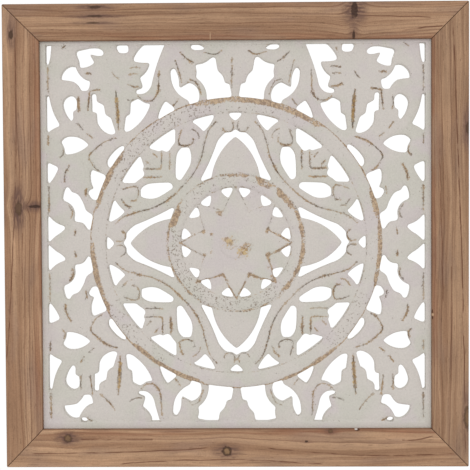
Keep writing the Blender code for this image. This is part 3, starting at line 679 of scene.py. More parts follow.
# Dirt and painted shade: the cuts, the edges of the rings and the star, the groove and the foot of the border
# are darkened, partly for dirt in them and partly for the shade that falls there.
vein_dirt_and_shade = np.clip(0.45 + 0.6 * from_cut / np.maximum(cut[:, 4], 0.1), 0, 1) * (from_cut < cut[:, 4] + 0.4)
dirt_and_shade = np.clip(1.25 - from_cut / (cut[:, 4] + 0.35), 0, 1.1) * (cut[:, 4] > 0.15)
dirt_and_shade = np.where(is_vein, vein_dirt_and_shade, dirt_and_shade)
for ring_radius, width, thickness in DIRT_AND_SHADE_RINGS:
    dirt_and_shade = np.maximum(dirt_and_shade, thickness * fading(radius - ring_radius, width))
dirt_and_shade = np.maximum(dirt_and_shade, STAR_DIRT_AND_SHADE * fading(in_star + 0.1, 0.7) * in_centre)
dirt_and_shade = np.maximum(dirt_and_shade, GROOVE_DIRT_AND_SHADE * groove)
dirt_and_shade = np.maximum(dirt_and_shade, BORDER_DIRT_AND_SHADE * fading(outside_field + 0.3, 0.45))
on_main = eased(138, 142, radius) * eased(159, 155, radius)
on_centre = eased(58, 62, radius) * eased(76, 73, radius)
speckled = np.maximum.reduce([
    on_main * by_bearing(MAIN_SPECKLED, ELSEWHERE_SPECKLED),
    on_centre * by_bearing(CENTRE_SPECKLED, ELSEWHERE_SPECKLED),
    FIELD_SPECKLED * (1 - border),
    0.75 * fading(from_cut - 1.0, 2.0) * is_cut,
])
mustard = fading(from_cut, 2.0) * is_vein
for spot_x, spot_z, size in MUSTARD_SPOTS:
    mustard = np.maximum(mustard, fading(np.hypot(x - spot_x, z - spot_z), size))
wear_and_shade = {"rubbed": rubbed, "dirt_and_shade": dirt_and_shade, "speckled": speckled, "mustard": mustard}


# The board itself: its face from the sheet, walls drawn back from every edge, and a flat back. The lines sway a
# little, as the carver's did, and the walls keep little of the wear and painted shade of the face.

BOARD_THICK = 11 * MM
WALL_SHOULDER = 0.9 * MM
WALL_WEAR_AND_SHADE = 0.3
SWAY, SWAY_SCALE, SWAY_FADES_IN, SWAY_SEED = 0.4, 0.03, 12, 5

noise.seed_set(SWAY_SEED)
mesh = bmesh.new()
wear_and_shade_layers = {name: mesh.verts.layers.float.new(name) for name in wear_and_shade}
wall = mesh.verts.layers.float.new("sawn_wall")
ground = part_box("carved_panel")[1][1] - BOARD_THICK + BORDER_HEIGHT * MM
made = {}
for i in sorted({i for triangle in triangles for i in triangle}):
    drawn_x, drawn_z = places[i]
    inside = min(1, max(0, -outside_field[i] / SWAY_FADES_IN))
    sway = noise.noise_vector(Vector((drawn_x, drawn_z, 0)) * SWAY_SCALE) * SWAY * inside
    face_z = PATTERN_Z + (drawn_z + sway.y) * PATTERN_UNIT
    made[i] = mesh.verts.new(((drawn_x + sway.x) * PATTERN_UNIT, ground - height[i] * MM, face_z))
    for name, layer in wear_and_shade_layers.items():
        made[i][layer] = wear_and_shade[name][i]
for triangle in triangles:
    mesh.faces.new([made[i] for i in triangle])
rim = [edge for edge in mesh.edges if edge.is_boundary]
for shoulder in (True, False):
    drawn = bmesh.ops.extrude_edge_only(mesh, edges=rim)["geom"]
    for vert in (v for v in drawn if isinstance(v, bmesh.types.BMVert)):
        vert.co.y = vert.co.y + WALL_SHOULDER if shoulder else board_high.y
        # On the walls the wear and the painted shade of the face are weaker.
        vert[wear_and_shade_layers["rubbed"]] *= WALL_WEAR_AND_SHADE
        vert[wear_and_shade_layers["dirt_and_shade"]] *= WALL_WEAR_AND_SHADE
        vert[wall] = 1.0
    rim = [edge for edge in drawn if isinstance(edge, bmesh.types.BMEdge) and edge.is_boundary]
bmesh.ops.triangle_fill(mesh, edges=rim, use_beauty=True, normal=(0, 1, 0))
bmesh.ops.recalc_face_normals(mesh, faces=mesh.faces)
board_data = bpy.data.meshes.new("carved_board")
mesh.to_mesh(board_data)
mesh.free()
board_data.shade_smooth()
board_data.set_sharp_from_angle(angle=math.radians(52))
board = bpy.data.objects.new("carved_board", board_data)
bpy.context.scene.collection.objects.link(board)
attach(board, "root")
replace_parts(board, "carved_panel")


# Paint of the board. Thin off-white paint over brown wood, sanded through along the ridges, with dirt and
# painted shade in the cuts and along the steps of the relief, and mustard patches at the boss. The sawn walls
# are painted paler, a painted highlight. Towards the back the paint runs out and the bare wood shows.


def srgb(red, green, blue):
    """A colour as it looks, 0 to 255, as the linear light that a shader takes."""
    return tuple(((value / 255 + 0.055) / 1.055) ** 2.4 for value in (red, green, blue)) + (1.0,)


def put(tree, kind, inputs=(), **settings):
    """A new node with its settings, and each of its inputs linked or set."""
    node = tree.nodes.new(kind)
    for name, value in settings.items():
        setattr(node, name, value)
    for key, value in dict(inputs).items():
        if isinstance(value, bpy.types.NodeSocket):
            tree.links.new(value, node.inputs[key])
        else:
            node.inputs[key].default_value = value
    return node


def sums(tree, operation, *values):
    return put(tree, "ShaderNodeMath", enumerate(values), operation=operation).outputs[0]


def between(tree, low, high, value):
    """0 below low, 1 above high, with a soft step between."""
    inputs = {"Value": value, "From Min": low, "From Max": high}
    return put(tree, "ShaderNodeMapRange", inputs, interpolation_type="SMOOTHSTEP").outputs["Result"]


def blend(tree, share, under, over):
    """One colour laid over another."""
    return put(tree, "ShaderNodeMix", {0: share, 6: under, 7: over}, data_type="RGBA").outputs[2]


def cloud(tree, place, scale, detail=3.0, roughness=0.5):
    """Soft noise from about 0 to 1. The scale is in patches to the millimetre."""
    inputs = {"Vector": place, "Scale": scale, "Detail": detail, "Roughness": roughness}
    return put(tree, "ShaderNodeTexNoise", inputs).outputs["Fac"]


def three_clouds(tree, place, scale):
    """Three soft noises, one on each axis."""
    return put(tree, "ShaderNodeTexNoise", {"Vector": place, "Scale": scale, "Detail": 3.0}).outputs["Color"]


def mark(tree, name):
    """A mark that the mesh carries, from 0 to 1."""
    return put(tree, "ShaderNodeAttribute", attribute_name=name).outputs["Fac"]


def in_millimetres(tree):
    return vectors(tree, "SCALE", put(tree, "ShaderNodeTexCoord").outputs["Object"], 1 / MM)


def new_material(name):
    material = bpy.data.materials.new(name)
    material.use_nodes = True
    return material, material.node_tree, material.node_tree.nodes["Principled BSDF"]


def new_group(name, inputs, outputs):
    """A node group with these sockets, and its input and output nodes."""
    group = bpy.data.node_groups.new(name, "ShaderNodeTree")
    for direction, sockets in (("INPUT", inputs), ("OUTPUT", outputs)):
        for socket, kind in sockets:
            group.interface.new_socket(socket, in_out=direction, socket_type="NodeSocket" + kind)
    return group, group.nodes.new("NodeGroupInput"), group.nodes.new("NodeGroupOutput")


def vectors(tree, operation, *values):
    """A sum of vectors; a scale takes a vector and a number."""
    names = (0, "Scale") if operation == "SCALE" else (0, 1)
    node = put(tree, "ShaderNodeVectorMath", zip(names, values), operation=operation)
    return node.outputs["Value" if operation == "LENGTH" else "Vector"]


def part_of(tree, vector, axis):
    return put(tree, "ShaderNodeSeparateXYZ", {"Vector": vector}).outputs[axis]


def joined(tree, **parts):
    return put(tree, "ShaderNodeCombineXYZ", parts).outputs["Vector"]


def ranged(tree, value, low, high, to_low, to_high):
    inputs = {"Value": value, "From Min": low, "From Max": high, "To Min": to_low, "To Max": to_high}
    return put(tree, "ShaderNodeMapRange", inputs).outputs["Result"]


STAIN_LIGHT, STAIN_MID, LATE_WOOD = srgb(187, 150, 119), srgb(160, 123, 95), srgb(98, 56, 38)
# The pore colour below is also the painted shade along the sight edge of the rails.
STAIN_RED, STAIN_GREY, PORE_AND_SHADE = srgb(147, 98, 72), srgb(152, 122, 104), srgb(106, 74, 54)

# Softwood of the board's back and of the stained rails: x runs along the grain and y across it, from the sight
# edge of a rail, both in millimetres. Each growth ring darkens towards its late wood and ends sharply.
grain_group, given, result = new_group(
    "softwood_grain", [("Place", "Vector"), ("Seed", "Vector"), ("Ring width", "Float")],
    [("Colour", "Color"), ("Roughness", "Float"), ("Height", "Float")],
)
tree = grain_group
start = vectors(tree, "ADD", given.outputs["Place"], given.outputs["Seed"])
drift = three_clouds(tree, vectors(tree, "MULTIPLY", start, (0.0045, 0.03, 0.03)), 1.0)
flow = vectors(tree, "ADD", start, vectors(tree, "MULTIPLY", drift, (0.0, 17.0, 6.0)))
rings = sums(tree, "DIVIDE", part_of(tree, flow, "Y"), given.outputs["Ring width"])
within = sums(tree, "FRACT", rings)
ring_number = sums(tree, "FLOOR", rings)
each = put(tree, "ShaderNodeTexWhiteNoise", {"W": ring_number}, noise_dimensions="1D").outputs["Value"]
late = sums(tree, "MULTIPLY", sums(tree, "POWER", within, 3.5), between(tree, 1.0, 0.95, within))
late = sums(tree, "MULTIPLY", late, ranged(tree, each, 0.2, 1.0, 0.1, 1.0))
broken = cloud(tree, vectors(tree, "MULTIPLY", flow, (0.012, 0.2, 0.2)), 1.0, 3)
late = sums(tree, "MULTIPLY", late, between(tree, 0.22, 0.46, broken))
bands = cloud(tree, vectors(tree, "MULTIPLY", flow, (0.0028, 0.12, 0.12)), 1.0, 3, 0.6)
fibres = cloud(tree, vectors(tree, "MULTIPLY", flow, (0.012, 0.9, 0.9)), 1.0, 5, 0.75)
blotches = cloud(tree, start, 0.024, 3, 0.5)
colour = blend(tree, between(tree, 0.38, 0.62, bands), STAIN_MID, STAIN_LIGHT)
greyed = between(tree, 0.48, 0.68, cloud(tree, vectors(tree, "MULTIPLY", start, (0.012, 0.05, 0.05)), 1.0, 3))
colour = blend(tree, sums(tree, "MULTIPLY", greyed, 0.5), colour, STAIN_GREY)
colour = blend(tree, sums(tree, "MULTIPLY", late, 0.78), colour, LATE_WOOD)
across = part_of(tree, given.outputs["Place"], "Y")
reddish = sums(tree, "MULTIPLY", between(tree, 12.0, 2.0, across), between(tree, 0.4, 0.6, broken))
colour = blend(tree, sums(tree, "MULTIPLY", reddish, 0.6), colour, STAIN_RED)
pores = between(tree, 0.63, 0.7, cloud(tree, vectors(tree, "MULTIPLY", flow, (0.08, 1.7, 1.7)), 1.0, 3, 0.6))
colour = blend(tree, sums(tree, "MULTIPLY", pores, 0.5), colour, PORE_AND_SHADE)
fuzz = cloud(tree, vectors(tree, "MULTIPLY", start, (1.1, 0.7, 0.7)), 1.0, 3, 0.7)
light = ranged(tree, fibres, 0.25, 0.75, 0.74, 1.22)
for patches in (ranged(tree, blotches, 0.3, 0.7, 0.93, 1.06), ranged(tree, fuzz, 0.25, 0.75, 0.84, 1.14)):
    light = sums(tree, "MULTIPLY", light, patches)
tree.links.new(vectors(tree, "SCALE", colour, light), result.inputs["Colour"])
tree.links.new(sums(tree, "MULTIPLY_ADD", fibres, 0.25, 0.5), result.inputs["Roughness"])
relief = sums(tree, "MULTIPLY_ADD", late, 0.14, sums(tree, "MULTIPLY", fibres, 0.12))
tree.links.new(sums(tree, "MULTIPLY_ADD", pores, -0.12, relief), result.inputs["Height"])

PAINT_WARM, PAINT_COOL, PAINT_PINK = srgb(213, 206, 199), srgb(208, 204, 194), srgb(211, 202, 199)
# A painted highlight: the colour below makes the sawn walls paler than the face, for the light that reaches into
# the openings.
WALL_PAINTED_LIGHT = srgb(229, 225, 218)
RUBBED_LIGHT, RUBBED_DARK = srgb(198, 170, 136), srgb(144, 117, 94)
# The brown and ochre below colour the dirt and painted shade in the cuts and at the steps.
DIRT_SHADE_BROWN, DIRT_SHADE_OCHRE, SPECK = srgb(108, 92, 76), srgb(172, 146, 112), srgb(132, 112, 96)
MUSTARD, MUSTARD_DARK, BARE_WOOD = srgb(204, 172, 112), srgb(152, 120, 86), srgb(188, 158, 124)

painted, tree, shader = new_material("rubbed_white_paint")
place = in_millimetres(tree)
marks = {name: mark(tree, name) for name in wear_and_shade}
broad, patchy = cloud(tree, place, 0.018, 3), cloud(tree, place, 0.085, 4, 0.6)
fine = cloud(tree, place, 0.6, 4, 0.7)
paint = blend(tree, between(tree, 0.42, 0.6, broad), PAINT_WARM, PAINT_COOL)
paint = blend(tree, between(tree, 0.48, 0.66, cloud(tree, place, 0.033, 3)), paint, PAINT_PINK)
paint = vectors(tree, "SCALE", paint, ranged(tree, fine, 0.3, 0.7, 0.9, 1.05))
# Painted highlight: the sawn walls are painted paler.
paint = blend(tree, mark(tree, "sawn_wall"), paint, WALL_PAINTED_LIGHT)

# Rubbed through where the mark outweighs the thickness of the paint, which varies in patches and in the fine
tooth = sums(tree, "MULTIPLY_ADD", fine, 2.0, -1.0)
film = sums(tree, "ADD", sums(tree, "MULTIPLY_ADD", patchy, 1.7, -0.85), tooth)
wood = blend(tree, between(tree, 0.4, 0.6, cloud(tree, place, 0.4, 5, 0.7)), RUBBED_LIGHT, RUBBED_DARK)
rub = between(tree, 0.62, 0.86, sums(tree, "ADD", marks["rubbed"], film))
colour = blend(tree, sums(tree, "MULTIPLY", rub, 0.88), paint, wood)

# Dirt and painted shade: brown to ochre in the cuts, along the ring and star edges, in the groove and at the
# border step.
ridged = cloud(tree, place, 0.33, 4, 0.65)
dirt_and_shade_colour = blend(tree, between(tree, 0.42, 0.58, cloud(tree, place, 0.07, 2)), DIRT_SHADE_BROWN, DIRT_SHADE_OCHRE)
dirt_and_shade_share = sums(tree, "MULTIPLY_ADD", ridged, 2.6, sums(tree, "MULTIPLY_ADD", tooth, 0.5, -1.3))
dirt_and_shade_share = between(tree, 0.5, 1.0, sums(tree, "ADD", marks["dirt_and_shade"], dirt_and_shade_share))
dirt_and_shade_share = sums(tree, "MULTIPLY", dirt_and_shade_share, between(tree, 0.0, 0.3, marks["dirt_and_shade"]))
colour = blend(tree, sums(tree, "MULTIPLY", dirt_and_shade_share, 0.66), colour, dirt_and_shade_colour)

torn = vectors(tree, "ADD", vectors(tree, "SCALE", three_clouds(tree, place, 0.35), 5.0), place)
specks = []
for scale, largest in ((0.26, 0.3), (0.48, 0.44)):
    cells = put(tree, "ShaderNodeTexVoronoi", {"Vector": torn, "Scale": scale, "Randomness": 1.0})
    pick = put(tree, "ShaderNodeSeparateColor", {"Color": cells.outputs["Color"]}).outputs["Red"]
    size = sums(tree, "MULTIPLY_ADD", sums(tree, "ADD", pick, marks["speckled"]), largest, -largest * 0.88)
    size = sums(tree, "MULTIPLY_ADD", tooth, 0.22, size)
    specks.append(between(tree, -0.02, 0.09, sums(tree, "SUBTRACT", size, cells.outputs["Distance"])))
gathered = between(tree, 0.42, 0.56, sums(tree, "MULTIPLY_ADD", marks["speckled"], 0.1, patchy))
speck = sums(tree, "MULTIPLY", sums(tree, "MAXIMUM", *specks), gathered)
colour = blend(tree, sums(tree, "MULTIPLY", speck, 0.66), colour, SPECK)

stain = sums(tree, "ADD", sums(tree, "MULTIPLY_ADD", cloud(tree, place, 0.22, 4, 0.7), 2.2, -1.1), tooth)
stain = between(tree, 0.5, 0.9, sums(tree, "ADD", stain, marks["mustard"]))
old_gold = blend(tree, between(tree, 0.46, 0.62, cloud(tree, place, 0.3, 3)), MUSTARD, MUSTARD_DARK)
colour = blend(tree, sums(tree, "MULTIPLY", stain, 0.74), colour, old_gold)

axes = put(tree, "ShaderNodeSeparateXYZ", {"Vector": place}).outputs
board_back = board_high.y / MM
behind = between(tree, board_back - 0.4, board_back + 0.9, sums(tree, "MULTIPLY_ADD", fine, 1.6, axes["Y"]))
along_grain = joined(tree, X=axes["Z"], Y=axes["X"], Z=axes["Y"])
bare = put(tree, "ShaderNodeGroup", {"Place": along_grain, "Ring width": 6.0}, node_tree=grain_group)
colour = blend(tree, behind, colour, blend(tree, 0.55, bare.outputs["Colour"], BARE_WOOD))
tree.links.new(colour, shader.inputs["Base Color"])
tree.links.new(sums(tree, "MULTIPLY_ADD", fine, 0.22, 0.58), shader.inputs["Roughness"])
shader.inputs["Specular IOR Level"].default_value = 0.25

coat = sums(tree, "MULTIPLY_ADD", rub, -0.1, sums(tree, "MULTIPLY", fine, 0.3))
coat = sums(tree, "MULTIPLY_ADD", cloud(tree, place, 1.6, 3), 0.07, coat)
coat = sums(tree, "MULTIPLY_ADD", speck, -0.2, coat)
surface = put(tree, "ShaderNodeBump", {"Height": coat, "Strength": 1.0, "Distance": MM})
tree.links.new(surface.outputs["Normal"], shader.inputs["Normal"])
board_data.materials.append(painted)


# Frame rails. Each is a length of softwood, rebated behind, its front edges eased with a plane and its ends cut
# to the mitre. A brown stain brings up the grain; a knot turns the grain lines aside.

FRAME_HALF, TOP, BOTTOM = cad_box[1][0], cad_box[1][2], cad_box[0][2]
RAIL_FRONT = cad_box[0][1]
SIDE_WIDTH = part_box("frame_rail_left")[1][0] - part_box("frame_rail_left")[0][0]
BOTTOM_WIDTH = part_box("frame_rail_bottom")[1][2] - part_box("frame_rail_bottom")[0][2]
LIP, REBATE = 5 * MM, 7 * MM
EASED, JOINT_EASED, JOINT_GAP = 1.4 * MM, 0.45 * MM, 0.06 * MM
KNOT_DEEP, MARK_DEEP = 9.0, 4.0
KNOT_DARK, KNOT_HALO, KNOT_HEART = srgb(56, 36, 28), srgb(108, 80, 70), srgb(152, 120, 86)
SCRATCH, CHIP_SHADE = srgb(190, 156, 124), srgb(86, 56, 38)

# A knot: a core, a dark line around it, a halo drawn out along the grain, and the grain lines pushed aside
knot_group, given, result = new_group(
    "knot", [("Place", "Vector"), ("Centre", "Vector"), ("Size", "Vector")],
    [("Push", "Float"), ("Core", "Float"), ("Outline", "Float"), ("Halo", "Float")],
)
tree = knot_group
away = vectors(tree, "SUBTRACT", given.outputs["Place"], given.outputs["Centre"])
ragged = vectors(tree, "SUBTRACT", three_clouds(tree, given.outputs["Place"], 0.3), (0.5, 0.5, 0.5))
ragged = vectors(tree, "SCALE", ragged, 0.9)
scaled = vectors(tree, "ADD", vectors(tree, "DIVIDE", away, given.outputs["Size"]), ragged)
distance = vectors(tree, "LENGTH", scaled)
drawn_out = vectors(tree, "LENGTH", vectors(tree, "MULTIPLY", scaled, (0.55, 1.0, 1.0)))
weaker = sums(tree, "MULTIPLY_ADD", sums(tree, "MULTIPLY", drawn_out, drawn_out), 0.3, 1.0)
push = sums(tree, "DIVIDE", sums(tree, "MULTIPLY", part_of(tree, away, "Y"), -0.75), weaker)
from_outline = sums(tree, "ABSOLUTE", sums(tree, "SUBTRACT", distance, 0.9))
tree.links.new(push, result.inputs["Push"])
tree.links.new(between(tree, 1.1, 0.75, distance), result.inputs["Core"])
tree.links.new(between(tree, 0.42, 0.12, from_outline), result.inputs["Outline"])
tree.links.new(between(tree, 2.7, 0.7, drawn_out), result.inputs["Halo"])

# One dark growth line that stands out, from one place to another along the rail, with a bow between
line_group, given, result = new_group(
    "dark_line",
    [("Place", "Vector"), ("Start", "Vector"), ("End", "Vector"), ("Bow", "Float"), ("Width", "Float")],
    [("Mask", "Float")],
)
tree = line_group
here, first, last = (
    put(tree, "ShaderNodeSeparateXYZ", {"Vector": given.outputs[name]}).outputs
    for name in ("Place", "Start", "End")
)
share = ranged(tree, here["X"], first["X"], last["X"], 0.0, 1.0)
arch = sums(tree, "MULTIPLY", sums(tree, "MULTIPLY", share, sums(tree, "SUBTRACT", 1.0, share)), 4.0)
chord = ranged(tree, share, 0.0, 1.0, first["Y"], last["Y"])
unsteady = cloud(tree, vectors(tree, "MULTIPLY", given.outputs["Place"], (0.03, 0.1, 0.1)), 1.0, 2)
chord = sums(tree, "MULTIPLY_ADD", unsteady, 3.0, chord)
middle = sums(tree, "MULTIPLY_ADD", arch, given.outputs["Bow"], chord)
off = sums(tree, "ABSOLUTE", sums(tree, "SUBTRACT", sums(tree, "ADD", here["Y"], 1.5), middle))
streak = between(tree, given.outputs["Width"], 0.0, off)
streak = sums(tree, "MULTIPLY", streak, between(tree, 0.0, 0.1, arch))
faint = cloud(tree, vectors(tree, "MULTIPLY", given.outputs["Place"], (0.05, 0.2, 0.2)), 1.0, 3)
tree.links.new(sums(tree, "MULTIPLY", streak, between(tree, 0.3, 0.55, faint)), result.inputs["Mask"])


def stained_wood(name, along_axis, across_axis, sight, outward, seed, ring_width, tone, knots, lines, marks):
    """Stained softwood for one rail, sizes in millimetres along it and across it from the sight edge. The tone
    makes the whole rail lighter or darker. Knots are (along, across, half length, half width, heart, halo),
    lines (start, end, bow, width, strength) and marks, which are chips and scratches, (along, across, half
    length, half width, colour)."""
    material, tree, shader = new_material(name)
    axes = put(tree, "ShaderNodeSeparateXYZ", {"Vector": in_millimetres(tree)}).outputs
    across = sums(tree, "MULTIPLY", sums(tree, "SUBTRACT", axes[across_axis], sight / MM), outward)
    straight = joined(tree, X=axes[along_axis], Y=across, Z=axes["Y"])
    place = straight
    drawn = []
    for along, beside_sight, long, wide, heart, halo in knots:
        centre = (along, beside_sight, RAIL_FRONT / MM)
        inputs = {"Place": place, "Centre": centre, "Size": (long, wide, KNOT_DEEP)}
        knot = put(tree, "ShaderNodeGroup", inputs, node_tree=knot_group)
        place = vectors(tree, "ADD", place, joined(tree, Y=knot.outputs["Push"]))
        drawn.append((knot, heart, halo))
    inputs = {"Place": place, "Seed": seed, "Ring width": ring_width}
    grain = put(tree, "ShaderNodeGroup", inputs, node_tree=grain_group)
    colour = vectors(tree, "SCALE", grain.outputs["Colour"], tone)
    for line_start, line_end, bow, width, strength in lines:
        inputs = {"Start": (*line_start, 0.0), "End": (*line_end, 0.0), "Bow": bow, "Width": width}
        line = put(tree, "ShaderNodeGroup", {"Place": straight, **inputs}, node_tree=line_group)
        colour = blend(tree, sums(tree, "MULTIPLY", line.outputs["Mask"], strength), colour, LATE_WOOD)
    streaks = cloud(tree, vectors(tree, "MULTIPLY", straight, (0.09, 0.5, 0.5)), 1.0, 3)
    streaks = between(tree, 0.4, 0.56, streaks)
    for knot, heart, halo in drawn:
        shadow = sums(tree, "MULTIPLY", knot.outputs["Halo"], sums(tree, "MULTIPLY_ADD", streaks, 0.5, 0.5))
        colour = blend(tree, sums(tree, "MULTIPLY", shadow, halo), colour, KNOT_HALO)
        core = blend(tree, heart, KNOT_DARK, KNOT_HEART)
        colour = blend(tree, sums(tree, "MULTIPLY", knot.outputs["Core"], 0.85), colour, core)
        colour = blend(tree, sums(tree, "MULTIPLY", knot.outputs["Outline"], 0.8 * heart), colour, KNOT_DARK)
    # Painted shade: a dark line along the sight edge, for the shade on the inner wall of the lip.
    sight_edge_shade = between(tree, 1.7, 0.3, part_of(tree, straight, "Y"))
    colour = blend(tree, sums(tree, "MULTIPLY", sight_edge_shade, 0.5), colour, PORE_AND_SHADE)
    for along, beside_sight, long, wide, shade in marks:
        away = vectors(tree, "SUBTRACT", straight, (along, beside_sight, RAIL_FRONT / MM))
        off = vectors(tree, "LENGTH", vectors(tree, "DIVIDE", away, (long, wide, MARK_DEEP)))
        colour = blend(tree, between(tree, 1.1, 0.75, off), colour, shade)
    joint = between(tree, 0.0, 0.6, mark(tree, "at_joint"))
    colour = blend(tree, sums(tree, "MULTIPLY", joint, 0.85), colour, KNOT_DARK)
    tree.links.new(colour, shader.inputs["Base Color"])
    tree.links.new(grain.outputs["Roughness"], shader.inputs["Roughness"])
    shader.inputs["Specular IOR Level"].default_value = 0.2
    surface = put(tree, "ShaderNodeBump", {"Height": grain.outputs["Height"], "Strength": 1.0, "Distance": MM})
    tree.links.new(surface.outputs["Normal"], shader.inputs["Normal"])
    return material


def rail(name, start, end, width, start_inset, end_inset, wood):
    """One rail, from corner to corner clockwise from the front. Each inset is the width of the rail met."""
    start, end = Vector(start), Vector(end)
    along = (end - start).normalized()
    inward = Vector((0, 1, 0)).cross(along)
    lip, rebated = RAIL_FRONT + LIP, width - REBATE
    section = [(0, 0), (0, RAIL_FRONT), (width, RAIL_FRONT), (width, lip), (rebated, lip), (rebated, 0)]
    mesh = bmesh.new()
    at_joint = mesh.verts.layers.float.new("at_joint")
    face = mesh.faces.new([mesh.verts.new(start + inward * step + Vector((0, y, 0))) for step, y in section])
    run = bmesh.ops.extrude_face_region(mesh, geom=[face])["geom"]
    bmesh.ops.translate(mesh, vec=end - start, verts=[v for v in run if isinstance(v, bmesh.types.BMVert)])
    eased = [
        e for e in mesh.edges
        if all(abs(v.co.y - RAIL_FRONT) < MM / 10 for v in e.verts)
        and abs((e.verts[1].co - e.verts[0].co).normalized().dot(along)) > 0.9
    ]
    bmesh.ops.bevel(mesh, geom=eased, offset=EASED, segments=5, profile=0.5, affect="EDGES", material=-1)
    for corner, way, inset in ((start, along, start_inset), (end, -along, end_inset)):
        normal = (way * inset + inward * width).cross(Vector((0, 1, 0))).normalized()
        if normal.dot(way) > 0:
            normal = -normal
        cut = bmesh.ops.bisect_plane(
            mesh, geom=mesh.verts[:] + mesh.edges[:] + mesh.faces[:],
            plane_co=corner - normal * (JOINT_GAP / 2 + JOINT_EASED), plane_no=normal, clear_outer=True,
        )["geom_cut"]
        rim = [e for e in cut if isinstance(e, bmesh.types.BMEdge)]
        end_grain = bmesh.ops.contextual_create(mesh, geom=rim)["faces"]
        bmesh.ops.inset_region(mesh, faces=end_grain, thickness=JOINT_EASED, use_even_offset=True)
        bmesh.ops.translate(mesh, vec=normal * JOINT_EASED, verts=end_grain[0].verts)
        for vert in mesh.verts:
            if abs((vert.co - corner).dot(normal)) < JOINT_GAP:
                vert[at_joint] = 1.0
    bmesh.ops.recalc_face_normals(mesh, faces=mesh.faces)
    data = bpy.data.meshes.new(name)
    mesh.to_mesh(data)
    mesh.free()
    data.shade_smooth()
    data.set_sharp_from_angle(angle=math.radians(30))
    data.materials.append(wood)
    piece = bpy.data.objects.new(name, data)
    bpy.context.scene.collection.objects.link(piece)
    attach(piece, "root")
    return piece


corners = {
    "top_left": (-FRAME_HALF, 0, TOP), "top_right": (FRAME_HALF, 0, TOP),
    "bottom_right": (FRAME_HALF, 0, BOTTOM), "bottom_left": (-FRAME_HALF, 0, BOTTOM),
}
top_wood = stained_wood(
    "top_rail_wood", "X", "Z", TOP - SIDE_WIDTH, 1.0, (40.0, 11.0, 3.0), 3.4, 0.98,
    [
        (-150, 36, 7, 1.6, 0.1, 0.9), (-150, 27, 9, 1.2, 0.1, 0.9), (-152, 20, 7, 0.9, 0.2, 0.7),
        (128, 31, 4.0, 9, 0.0, 1.0), (127, 8, 1.6, 9, 0.0, 0.6),
    ],
    [((178, 8), (222, 13), 1.0, 1.2, 0.9), ((130, 24), (210, 22), 1.0, 1.0, 0.8)],
    [(-26.3, 4.2, 0.5, 4.6, SCRATCH)],
)
right_wood = stained_wood(
    "right_rail_wood", "Z", "X", FRAME_HALF - SIDE_WIDTH, 1.0, (910.0, 57.0, 8.0), 4.4, 0.89,
    [(-116, 39, 7, 3, 0.2, 0.9), (-427, 39, 12, 4, 0.6, 0.6)],
    [
        ((8, 22), (-482, 37), 2.0, 1.1, 0.95), ((-135, 8), (-303, 12), 0.5, 1.0, 0.7),
        ((-262, 21), (-385, 20), 0.5, 0.9, 0.7),
    ],
    [
        (-315.3, 1.2, 1.7, 1.2, SCRATCH), (-311.8, 0.7, 2.4, 0.7, CHIP_SHADE),
        (-318.6, 0.9, 2.0, 0.8, CHIP_SHADE),
    ],
)
bottom_wood = stained_wood(
    "bottom_rail_wood", "X", "Z", BOTTOM + BOTTOM_WIDTH, -1.0, (333.0, 81.0, 5.0), 5.2, 1.03,
    [
        (-183, 10, 4, 4, 0.6, 1.0), (-11, 24, 4.5, 4.5, 0.9, 0.9), (75, 14, 2, 1.2, 0.0, 0.3),
        (101, 3, 2.4, 2.2, 0.4, 0.6),
    ],
    [
        ((32, 20.5), (236, 27), 5.0, 1.0, 0.9), ((-223, 26.5), (-28, 20), 2.0, 1.0, 0.9),
        ((-127, 38), (94, 39), -5.0, 1.0, 0.8), ((-170, 11), (-90, 12), 0.0, 1.6, 0.7),
        ((178, 12), (212, 7), 2.5, 1.2, 0.8),
    ],
    [(129.9, 0.9, 2.9, 1.7, CHIP_SHADE), (128.6, 0.3, 1.8, 1.2, PAINT_WARM)],
)
left_wood = stained_wood(
    "left_rail_wood", "Z", "X", -FRAME_HALF + SIDE_WIDTH, -1.0, (1507.0, 23.0, 2.0), 2.8, 1.02,
    [
        (-13, 30, 5, 2.6, 0.1, 0.8), (-199, 24, 8, 3.8, 0.3, 1.0), (-197, 8, 1.8, 8, 0.0, 0.9),
        (-197, 36, 6, 2, 0.7, 0.5),
    ],
    [((1, 26), (-366, 39), -5.0, 1.0, 0.9), ((-225, 20), (-300, 21), 0.0, 0.8, 0.7)],
    [],
)
side, foot = SIDE_WIDTH, BOTTOM_WIDTH
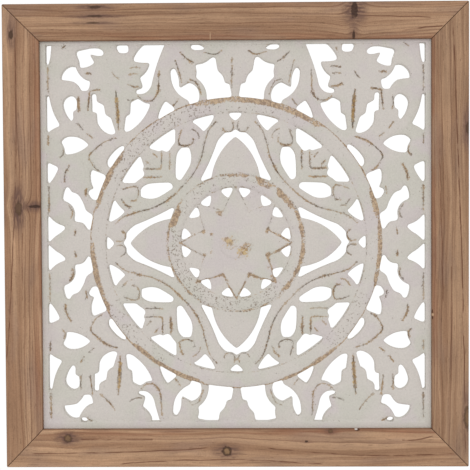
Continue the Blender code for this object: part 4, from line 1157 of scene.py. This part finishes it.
for name, start, end, width, start_inset, end_inset, wood in (
    ("rail_top", "top_left", "top_right", side, side, side, top_wood),
    ("rail_right", "top_right", "bottom_right", side, side, foot, right_wood),
    ("rail_bottom", "bottom_right", "bottom_left", foot, side, side, bottom_wood),
    ("rail_left", "bottom_left", "top_left", side, foot, side, left_wood),
):
    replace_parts(rail(name, corners[start], corners[end], width, start_inset, end_inset, wood), "frame_" + name)


# Floor, light and camera. The panel hangs in a white room, over a pale floor, under a broad soft light.

FLOOR_DROP, FLOOR_HALF = 1.3, 3
CAMERA_PLACE, AIM = Vector((0.0268, -1.5227, -0.1716)), Vector((-0.0009, -0.024, -0.2288))
CAMERA_ROLL = math.radians(-0.312)

floor_mesh = bmesh.new()
bmesh.ops.create_grid(floor_mesh, x_segments=1, y_segments=1, size=FLOOR_HALF)
bmesh.ops.translate(floor_mesh, vec=(0, 0, BOTTOM - FLOOR_DROP), verts=floor_mesh.verts)
floor_data = bpy.data.meshes.new("floor")
floor_mesh.to_mesh(floor_data)
floor_mesh.free()
floor = bpy.data.objects.new("floor", floor_data)
bpy.context.scene.collection.objects.link(floor)
floor_paint, tree, shader = new_material("pale_floor")
shader.inputs["Base Color"].default_value = srgb(232, 231, 229)
shader.inputs["Roughness"].default_value = 0.8
floor_data.materials.append(floor_paint)

world = bpy.data.worlds.new("white_room")
world.use_nodes = True
tree = world.node_tree
background = tree.nodes["Background"]
background.inputs["Color"].default_value = (1, 1, 1, 1)
seen = put(tree, "ShaderNodeLightPath").outputs["Is Camera Ray"]
tree.links.new(sums(tree, "MULTIPLY_ADD", seen, 0.33, 0.7), background.inputs["Strength"])
bpy.context.scene.world = world
bpy.context.scene.view_settings.view_transform = "Standard"

sun = bpy.data.objects.new("tall_window", bpy.data.lights.new("tall_window", "SUN"))
sun.data.energy, sun.data.angle = 0.8, math.radians(40)
sun.matrix_world = Vector((0.03, 1.0, -0.34)).to_track_quat("-Z", "Y").to_matrix().to_4x4()
bpy.context.scene.collection.objects.link(sun)

camera = bpy.data.objects.new("camera", bpy.data.cameras.new("camera"))
bpy.context.scene.collection.objects.link(camera)
camera.data.lens = 106.9
turned = (AIM - CAMERA_PLACE).to_track_quat("-Z", "Y").to_matrix().to_4x4()
camera.matrix_world = Matrix.Translation(CAMERA_PLACE) @ turned @ Matrix.Rotation(CAMERA_ROLL, 4, "Z")
bpy.context.scene.camera = camera
